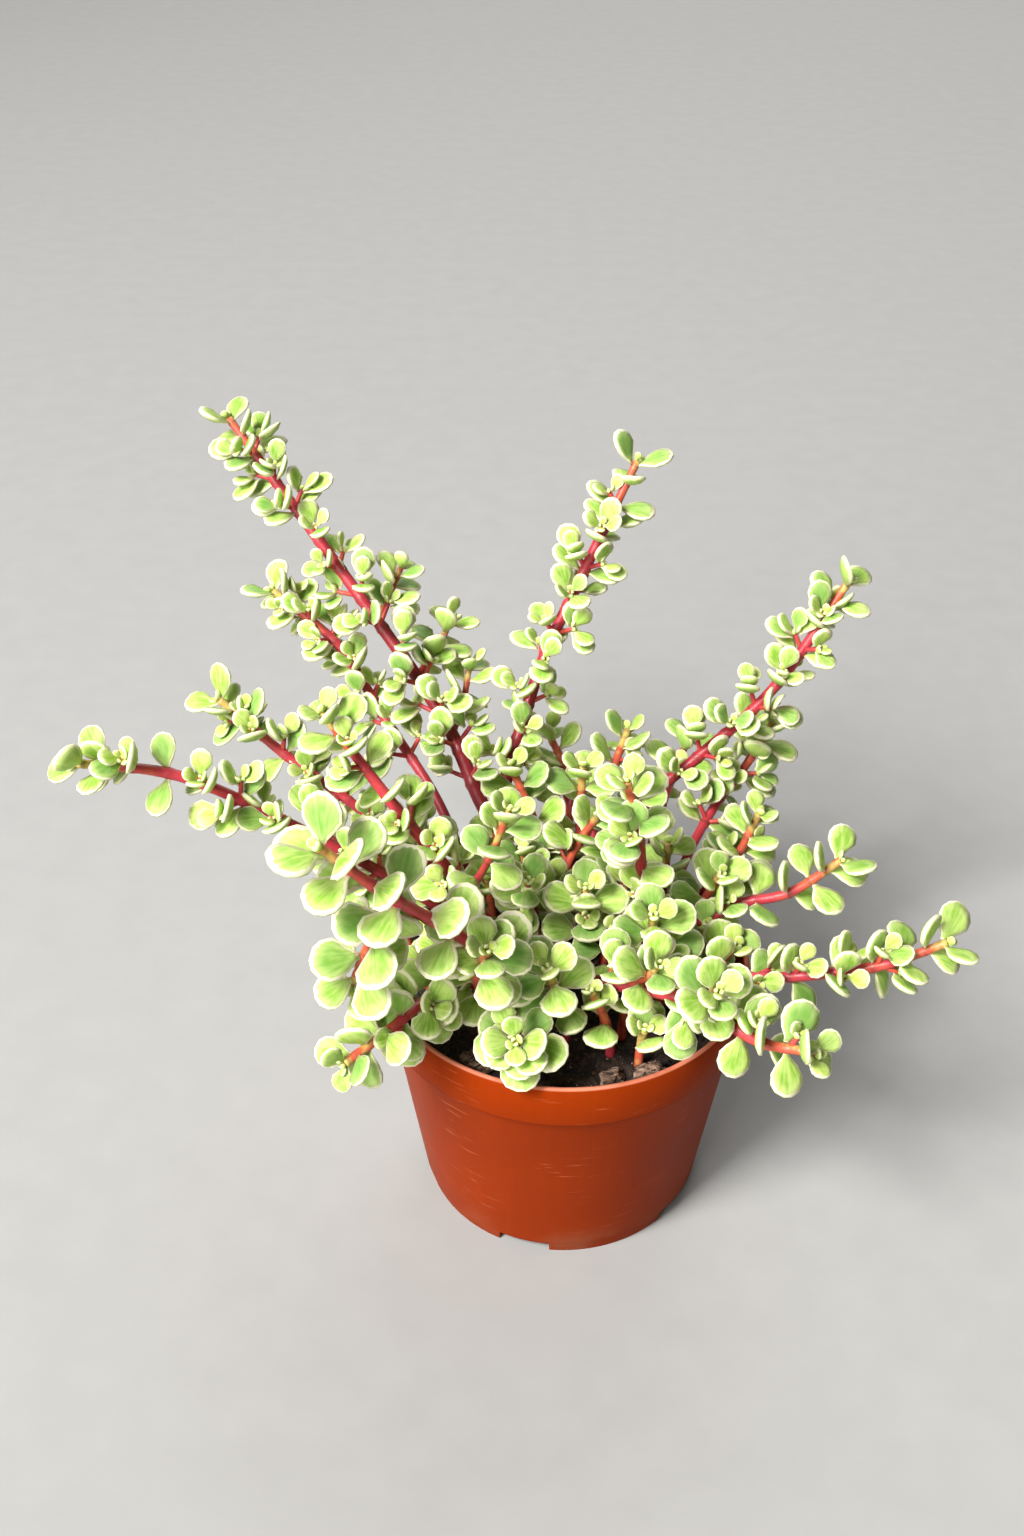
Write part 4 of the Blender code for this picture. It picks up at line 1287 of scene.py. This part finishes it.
broad = fan_noise(3.0, 2.0, 0.0, 2.0)
streaks = fan_noise(11.0, 1.6, 11.0, 3.0)
veins = fan_noise(34.0, 1.2, 23.0, 2.0)
edge_line = maths("MULTIPLY_ADD", minus(broad, 0.5), 0.16, margin)
edge_line = plus(edge_line, times(minus(streaks, 0.5), 0.21))
edge_line = maths("MULTIPLY_ADD", leaf_number, 0.05, edge_line)
past_edge = minus(inward, edge_line)

# The green differs with age, from leaf to leaf and in flecks, and near the edge a paler green is mixed in as
# a painted glow along the rim.
flecks = ease(plus(streaks, broad), 0.75, 1.25)
old_green = blend_colour(flecks, (0.215, 0.400, 0.045), (0.430, 0.570, 0.155))
old_green = with_coats(old_green, (ease(leaf_number, 0.45, 0.0), 0.5, (0.150, 0.390, 0.090)))
young_green = blend_colour(flecks, (0.370, 0.480, 0.065), (0.500, 0.560, 0.200))
green = blend_colour(youth, old_green, young_green)
green = blend_colour(1.0, green, ease(leaf_number, 0.0, 1.0, 0.80, 1.12), "MULTIPLY")
# A paler green near the edge: a painted glow along the rim.
painted_rim_glow = blend_colour(0.35, green, (0.590, 0.640, 0.270))
green = blend_colour(ease(past_edge, 0.0, 0.5), painted_rim_glow, green)

cream = blend_colour(veins, (0.700, 0.670, 0.420), (0.760, 0.720, 0.550))
cream = with_coats(cream, (youth, 0.3, (0.66, 0.67, 0.33)))
tone = blend_colour(ease(past_edge, -0.012, 0.022), cream, green)
tone = with_coats(tone, (under, 0.4, (0.42, 0.56, 0.15)))
feed(shader.inputs["Base Color"], tone)
feed(shader.inputs["Roughness"], ease(veins, 0.2, 0.8, 0.34, 0.44))
shader.inputs["Specular IOR Level"].default_value = 0.09
flesh = plus(times(veins, 0.3), speckle(object_place(), 1500.0, 2.0))
feed(shader.inputs["Normal"], relief(flesh, 0.14, 0.0003))
shader.inputs["Subsurface Weight"].default_value = 0.16
shader.inputs["Subsurface Radius"].default_value = (0.6, 1.0, 0.25)
shader.inputs["Subsurface Scale"].default_value = 0.0010
print("finish:", leaf_skin.name)

# %% Helpers for copies
def form_arrays(form):
    """A form's points as an array, and its faces. The form itself is then removed."""
    points = np.array([vert.co[:] for vert in form.data.vertices])
    faces = [tuple(face.vertices) for face in form.data.polygons]
    bpy.data.objects.remove(form, do_unlink=True)
    return points, faces


def joined_piece(name, copies, faces, finish):
    """One mesh of many copies that share the same faces."""
    count = len(copies[0])
    mesh = bpy.data.meshes.new(name)
    all_faces = [tuple(v + k * count for v in face) for k in range(len(copies)) for face in faces]
    mesh.from_pydata(np.concatenate(copies).tolist(), [], all_faces)
    mesh.materials.append(finish)
    mesh.shade_smooth()
    made = bpy.data.objects.new(name, mesh)
    bpy.context.scene.collection.objects.link(made)
    return made


def turned(points, spin, tip):
    """Points turned about the upright axis and tipped over."""
    c, s = math.cos(spin), math.sin(spin)
    a, b = math.cos(tip), math.sin(tip)
    tipped = points @ np.array([[a, 0, b], [0, 1, 0], [-b, 0, a]])
    return tipped @ np.array([[c, s, 0], [-s, c, 0], [0, 0, 1]])


def set_values(mesh, name, values):
    """Keeps one number for each point of a mesh."""
    made = mesh.attributes.new(name, "FLOAT", "POINT")
    made.data.foreach_set("value", np.asarray(values, dtype=np.float32))


print("helpers ready")

# %% [markdown]
# ## One leaf
#
# The blade is a flattened sphere in which both ends are worked one by one: the root
# end is squeezed to a wedge, column by column, and the far end is filled out to a
# broad round. The upper half is pressed to less than half its height and the lower
# half stays plump. Seventy faces are enough, because about two thousand copies follow.

# %% One leaf
LEAF_SPOKES = 14
LEAF_RINGS = 5
UPPER_HEIGHT = 0.42
LOWER_HEIGHT = 0.9
# How wide each column becomes, from the far end of the leaf to its root.
COLUMN_WIDTHS = [1.0, 1.12, 1.09, 1.03, 0.92, 0.72, 0.44, 1.0]


def column(co):
    """Which pair of columns a point is in: 0 at the far end, 7 at the root."""
    return round(abs(math.atan2(co.y, co.x)) / (2 * math.pi / LEAF_SPOKES))


deselect()
bpy.ops.mesh.primitive_uv_sphere_add(segments=LEAF_SPOKES, ring_count=LEAF_RINGS, radius=1.0)
leaf_form = bpy.context.object
inward_form = np.array([1.0 - math.hypot(vert.co.x, vert.co.y) for vert in leaf_form.data.vertices])
under_form = np.array([1.0 if vert.co.z < 0 else 0.0 for vert in leaf_form.data.vertices])
edit(leaf_form)
pick(lambda co: co.z > 0)
bpy.ops.transform.resize(value=(1, 1, UPPER_HEIGHT), center_override=(0, 0, 0))
pick(lambda co: co.z < 0)
bpy.ops.transform.resize(value=(1, 1, LOWER_HEIGHT), center_override=(0, 0, 0))
for number, share in enumerate(COLUMN_WIDTHS):
    pick(lambda co: co.xy.length > 0.01 and column(co) == number)
    bpy.ops.transform.resize(value=(1, share, 1), center_override=(0, 0, 0))
bpy.ops.mesh.select_all(action="SELECT")
bpy.ops.transform.translate(value=(1, 0, 0))
bpy.ops.transform.resize(value=(0.5, 1, 1), center_override=(0, 0, 0))
leaf_points, leaf_faces = form_arrays(close_edit())
print("leaf form:", len(leaf_points), "points,", len(leaf_faces), "faces")

# %% [markdown]
# ## Copies of the leaf
#
# Every copy has its own size, point, cup, curl and roll. The finer blade is a little
# wider than the simple one that the rule tried, so it is tried once more: where it
# would cross another blade or another stem, it is lifted a little or made smaller.

# %% Copies of the leaf
# The lift in degrees and the scale of each try. Only the faces beyond the blade's
# root take part, and no bud.
GIVE_WAY = [(0, 1.0), (5, 1.0), (0, 0.92), (9, 0.94), (5, 0.86), (12, 0.88), (0, 0.8), (14, 0.8), (0, 0.7)]
ROOT_SHARE = 0.28
BUD_LENGTH = 5.0
blade_faces = [face for face in leaf_faces if min(leaf_points[v][0] for v in face) > ROOT_SHARE]
settled = []

# The share of a leaf's half width that is cream, and the stems on which it is more.
MARGIN = 0.11
WIDE_MARGIN = 0.17
PALE_STEMS = ["stem_tall_left", "stem_tall_left_rear", "stem_tall_middle", "stem_right_rear",
              "stem_right_rear_low", "stem_near_left"]


def leaf_copy(leaf, rng):
    """A leaf's points, in millimetres from its root: sized, pointed, cupped and curled."""
    x, y, z = leaf_points.T
    thick = LEAF_THICKNESS * min(1.0, 0.4 + 0.6 * leaf.length / LEAF_LENGTH)
    half = leaf.length * leaf.width / 2
    cup = rng.uniform(0.0, 0.06) * leaf.length
    curl = rng.uniform(-0.05, 0.07) * leaf.length
    roll = rng.uniform(-0.10, 0.10)
    peak = rng.uniform(0.0, 0.07) * np.clip(1 - np.abs(y) * 3, 0.0, 1.0) * np.clip(x * 2 - 1, 0.0, 1.0)
    body = 0.35 + 0.65 * np.clip(x * 2.2, 0.0, 1.0)
    side = y * half
    up = z * thick * body + cup * y * y - curl * x * x + roll * side * x
    return np.stack([(x + peak) * leaf.length, side, up], axis=1)


def put_in_place(name, leaf, local):
    """A leaf's points in metres, lifted or made smaller where its blade would cross."""
    taken = [shoot.tree for other in plant.shoots if other != name for shoot in plant.shoots[other]]
    taken += [tree for centre, reach, tree in settled if (centre - leaf.centre).length < reach + leaf.reach]
    for lift, scale in GIVE_WAY:
        turn = math.radians(lift)
        along = leaf.along * math.cos(turn) + leaf.normal * math.sin(turn)
        axes = np.array([along[:], leaf.side[:], leaf.side.cross(along)[:]])
        points = local * scale @ axes + np.array(leaf.root[:])
        tree = BVHTree.FromPolygons(points.tolist(), blade_faces)
        if leaf.length < BUD_LENGTH or not any(tree.overlap(other) for other in taken):
            break
    if leaf.length >= BUD_LENGTH:
        settled.append((leaf.centre, leaf.reach, tree))
    return points * MM


def leaves_piece(name, leaves, rng):
    """All leaves of one stem as one mesh, with what their finish reads."""
    copies = [put_in_place(name, leaf, leaf_copy(leaf, rng)) for leaf in leaves]
    made = joined_piece(name + "_leaves", copies, leaf_faces, leaf_skin)
    mesh = made.data
    count = len(leaves)
    size = len(leaf_points)
    grown = LEAF_LENGTH * PLANS[name]["size"]
    lime = rng.uniform(-0.2, 0.25)
    young = [(0.8 - leaf.length / grown) / 0.45 + lime + rng.uniform(-0.2, 0.25) for leaf in leaves]
    numbers = [rng.random() for _ in leaves]
    set_values(mesh, "inward", np.tile(inward_form, count))
    set_values(mesh, "under", np.tile(under_form, count))
    set_values(mesh, "leaf_number", np.repeat(numbers, size))
    set_values(mesh, "youth", np.repeat(np.clip(young, 0.0, 1.0), size))
    set_values(mesh, "margin", np.full(count * size, WIDE_MARGIN if name in PALE_STEMS else MARGIN))
    chart = mesh.uv_layers.new(name="leaf_chart")
    corners = np.zeros(len(mesh.loops), dtype=np.int32)
    mesh.loops.foreach_get("vertex_index", corners)
    along = np.tile(leaf_points[:, 0], count)
    across = np.tile(leaf_points[:, 1], count) * np.repeat([leaf.width for leaf in leaves], size) / 2 + 0.5
    flat = np.stack([along, across], axis=1)
    chart.data.foreach_set("uv", flat[corners].astype(np.float32).ravel())
    return made


print("ready to copy, with", len(blade_faces), "of", len(leaf_faces), "faces tried")

# %% [markdown]
# ## The stems' finish
#
# A young stem is orange-green, then turns red and crimson, and an old one is dark
# maroon. Pairs of leaves leave a thin ring round the stem. The finish reads how old
# each point is and how near a ring it lies, and adds fine wrinkles.

# %% The stems' finish
stem_bark, tree, shader = new_finish("red_stem_detail", 0.34)
plain = object_place()
patches = speckle(plain, 170.0, 3.0)
wrinkles = speckle(plain, 900.0, 3.0, 0.6, 0.8)
age = plus(stored("old"), times(minus(patches, 0.5), 0.35))
tone = blend_colour(ease(age, 0.0, 0.07), (0.50, 0.36, 0.10), (0.51, 0.092, 0.042))
tone = blend_colour(ease(age, 0.05, 0.22), tone, (0.43, 0.034, 0.050))
tone = blend_colour(ease(age, 0.5, 1.0), tone, (0.22, 0.014, 0.022))
tone = with_coats(tone, (ease(wrinkles, 0.55, 0.75), 0.25, (0.42, 0.17, 0.12)),
                  (stored("ring"), 0.6, (0.10, 0.03, 0.02)))
feed(shader.inputs["Base Color"], tone)
feed(shader.inputs["Roughness"], ease(patches, 0.2, 0.8, 0.28, 0.46))
shader.inputs["Specular IOR Level"].default_value = 0.35
feed(shader.inputs["Normal"], relief(wrinkles, 0.35, 0.0004))
print("finish:", stem_bark.name)

# %% [markdown]
# ## The stems
#
# Each stem is a curve with round bevel, whose girth is set at every millimetre: it
# tapers to the tip and swells a little at each pair of leaves. Its side shoots and
# the short stalks of its axil shoots are more splines of the same curve. The curve
# is then converted to a mesh, and every point learns its age and its ring.

# %% Stems as curves
RING_SWELL = 0.15
SWELL_WIDTH = 0.9
RING_WIDTH = 0.45
NO_RING = 99.0
TUBE_SIDES = 10
OLD_LENGTH = 120.0

# The short stalk of an axil shoot: shares of its length and radii, and its age.
STALK_LINE = ((-0.1, 1.0), (0.25, 0.85), (0.6, 0.8), (0.9, 0.75), (1.0, 0.5))
STALK_AGE = 0.16


def stem_rows(shoot):
    """Rows of (point, radius, age, ring) along a shoot, a millimetre apart."""
    rows = []
    marks = [0.0]
    for a, b in zip(shoot.fine, shoot.fine[1:]):
        marks.append(marks[-1] + (b - a).length)
    total = marks[-1]
    steps = max(4, round(total))
    index = 0
    for step in range(steps + 1):
        distance = total * step / steps
        while index < len(marks) - 2 and marks[index + 1] < distance:
            index += 1
        part = (distance - marks[index]) / (marks[index + 1] - marks[index])
        point = shoot.fine[index].lerp(shoot.fine[index + 1], part)
        place = distance / total * shoot.length
        nearest = min((abs(place - node) for node in shoot.nodes), default=NO_RING)
        swell = math.exp(-(nearest / SWELL_WIDTH) ** 2)
        radius = shoot.radius(place) * (1.0 + RING_SWELL * swell)
        old = min(1.0, (shoot.length - place) / OLD_LENGTH * (0.55 + shoot.foot_radius / 4.5))
        rows.append((point, radius, old, math.exp(-(nearest / RING_WIDTH) ** 2)))
    return rows


def stalk_rows(base, heading, stalk):
    """Rows along the short stalk of an axil shoot."""
    return [(base + heading * (stalk + 2.0) * share, radius, STALK_AGE, 0.0) for share, radius in STALK_LINE]


def wood_piece(name, all_rows):
    """Every spline of one stem as a curve, converted to a mesh."""
    curve = bpy.data.curves.new(name, "CURVE")
    curve.dimensions = "3D"
    curve.bevel_depth = MM
    curve.bevel_resolution = (TUBE_SIDES - 4) // 2
    for rows in all_rows:
        spline = curve.splines.new("POLY")
        spline.points.add(len(rows) - 1)
        for point, (place, radius, _, _) in zip(spline.points, rows):
            point.co = (*(place * MM), 1.0)
            point.radius = radius
    made = bpy.data.objects.new(name, curve)
    bpy.context.scene.collection.objects.link(made)
    choose(made)
    bpy.ops.object.convert(target="MESH")
    made = bpy.context.object
    for index, key in ((2, "old"), (3, "ring")):
        values = [row[index] for rows in all_rows for row in rows]
        set_values(made.data, key, np.repeat(values, TUBE_SIDES))
    edit(made)
    bpy.ops.mesh.select_all(action="SELECT")
    bpy.ops.mesh.fill_holes(sides=0)
    close_edit()
    made.data.materials.clear()
    made.data.materials.append(stem_bark)
    made.data.shade_smooth()
    return made


# %% Every leafy stem
for name in [*sorted(STEMS), LOW_SHOOTS]:
    rng = random.Random(sum(map(ord, name)) + 900)
    all_rows = [stem_rows(shoot) for shoot in plant.shoots[name]]
    all_rows += [stalk_rows(base, heading, stalk) for base, heading, _, stalk, _ in plant.side_shoots[name]]
    wood = wood_piece(name.replace("stem_", "leafy_"), all_rows)
    leaves = leaves_piece(name, plant.leaves[name], rng)
    choose(wood)
    leaves.select_set(True)
    bpy.ops.object.join()
    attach(wood, "root")
    if name in STEMS:
        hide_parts(name)
    print(wood.name, len(plant.leaves[name]), "leaves", len(wood.data.polygons), "faces")

# %% [markdown]
# ## Bark chips and crumbs
#
# The mix holds broken chips of bark, many small lumps and a few fibres. One of each
# is modelled and then copied, each copy with its own size, turn and tilt. The chip
# comes from a cube that is cut up, half rounded and pushed about by a noise, the
# lump from a ball of twenty faces, and the fibre from a thin rod.

# %% Places and copies on the soil
CHIP_SPREAD = 50.0
CHIP_DISTANCE = 11.0
CHIP_FOOT_SPACE = 4.5
CRUMB_SPREAD = 56.0


def loose_place(rng, spread):
    """A place on the soil, evenly spread."""
    radius = spread * math.sqrt(rng.random())
    turn = rng.uniform(0, 2 * math.pi)
    return radius * math.cos(turn), radius * math.sin(turn)


def chip_places(rng):
    """Places strewn over the soil, clear of the stems and of each other."""
    places = list(CHIP_PLACES)
    while len(places) < CHIPS:
        place = loose_place(rng, CHIP_SPREAD)
        if all(math.dist(place, other) > CHIP_DISTANCE for other in places):
            places.append(place)
    return [(x, y) for x, y in places if clear_of_feet(x, y, CHIP_FOOT_SPACE)]


def laid_copy(form, size, tilt, place, height, rng):
    """A copy in metres, with a size along each axis, a drawn turn and tilt, in its place."""
    lump = turned(form * np.array(size), rng.uniform(0, math.pi), rng.uniform(-tilt, tilt))
    return (lump + [*place, height]) * MM


def strew(name, copies, faces, finish):
    """One piece of all copies, which lies on the soil."""
    made = joined_piece(name, copies, faces, finish)
    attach(made, "root")
    print(made.name, len(copies), "copies of", len(faces), "faces")


print("ready to strew")

# %% The bark chips
CHIP_CUTS = 6
CHIP_LIFT = 1.0
deselect()
bpy.ops.mesh.primitive_cube_add(size=1)
chip_form = bpy.context.object
edit(chip_form)
bpy.ops.mesh.select_all(action="SELECT")
bpy.ops.mesh.subdivide(number_cuts=CHIP_CUTS)
close_edit()
# Without a seed of its own, noise_vector gives another result in each run.
noise.seed_set(5)
for vert in chip_form.data.vertices:
    rounded = vert.co.lerp(vert.co.normalized() * 0.6, 0.55)
    vert.co = rounded + noise.noise_vector(vert.co * 2.3) * 0.22 + noise.noise_vector(vert.co * 7.0) * 0.10
form, faces = form_arrays(chip_form)
rng = random.Random(41)
copies = []
for x, y in chip_places(rng):
    length = rng.uniform(*CHIP_SIZE)
    size = (length * 1.25, length * rng.uniform(0.7, 1.0), rng.uniform(4.0, 5.5))
    copies.append(laid_copy(form, size, 0.4, (x, y), soil_height(x, y) + CHIP_LIFT, rng))
strew("bark_chips", copies, faces, bark)

# %% Small crumbs and fibres
CRUMBS = 2400
PALE_SHARE = 0.22
CRUMB_LIFT = 0.15
FIBRES = 14
FIBRE_LIFT = 0.2
FIBRE_THICKNESS = 0.35

deselect()
bpy.ops.mesh.primitive_ico_sphere_add(subdivisions=1, radius=0.5)
crumb_form = bpy.context.object
for vert in crumb_form.data.vertices:
    vert.co *= 1.0 + noise.noise(vert.co * 3.0) * 0.8
form, faces = form_arrays(crumb_form)
rng = random.Random(7)
dark, pale = [], []
for _ in range(CRUMBS):
    x, y = loose_place(rng, CRUMB_SPREAD)
    across = 0.6 + 2.2 * rng.random() ** 3
    size = (across, across * rng.uniform(0.6, 1.0), across * rng.uniform(0.5, 0.9))
    lump = laid_copy(form, size, 0.5, (x, y), soil_height(x, y) + clod_lift(x, y) + CRUMB_LIFT, rng)
    (pale if rng.random() < PALE_SHARE else dark).append(lump)
strew("soil_crumbs", dark, faces, loam)
strew("bark_crumbs", pale, faces, bark)

deselect()
bpy.ops.mesh.primitive_cylinder_add(vertices=5, radius=0.5, depth=1.0, rotation=(0, math.pi / 2, 0))
fibre_form = bpy.context.object
bpy.ops.object.transform_apply(location=False, rotation=True, scale=False)
edit(fibre_form)
pick(lambda co: co.x > 0)
bpy.ops.transform.resize(value=(1, 0.5, 0.5))
form, faces = form_arrays(close_edit())
copies = []
for _ in range(FIBRES):
    x, y = loose_place(rng, CRUMB_SPREAD)
    size = (rng.uniform(3.0, 8.0), FIBRE_THICKNESS, FIBRE_THICKNESS)
    copies.append(laid_copy(form, size, 0.2, (x, y), soil_height(x, y) + clod_lift(x, y) + FIBRE_LIFT, rng))
strew("soil_fibres", copies, faces, bark)

# %% [markdown]
# ## The size
#
# The box round the shown plant, pot and soil, in millimetres. It should stay close to the measured plant's.

# %% Size
low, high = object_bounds()
print("visual box in mm:", [round(v * 1000, 1) for v in high - low])
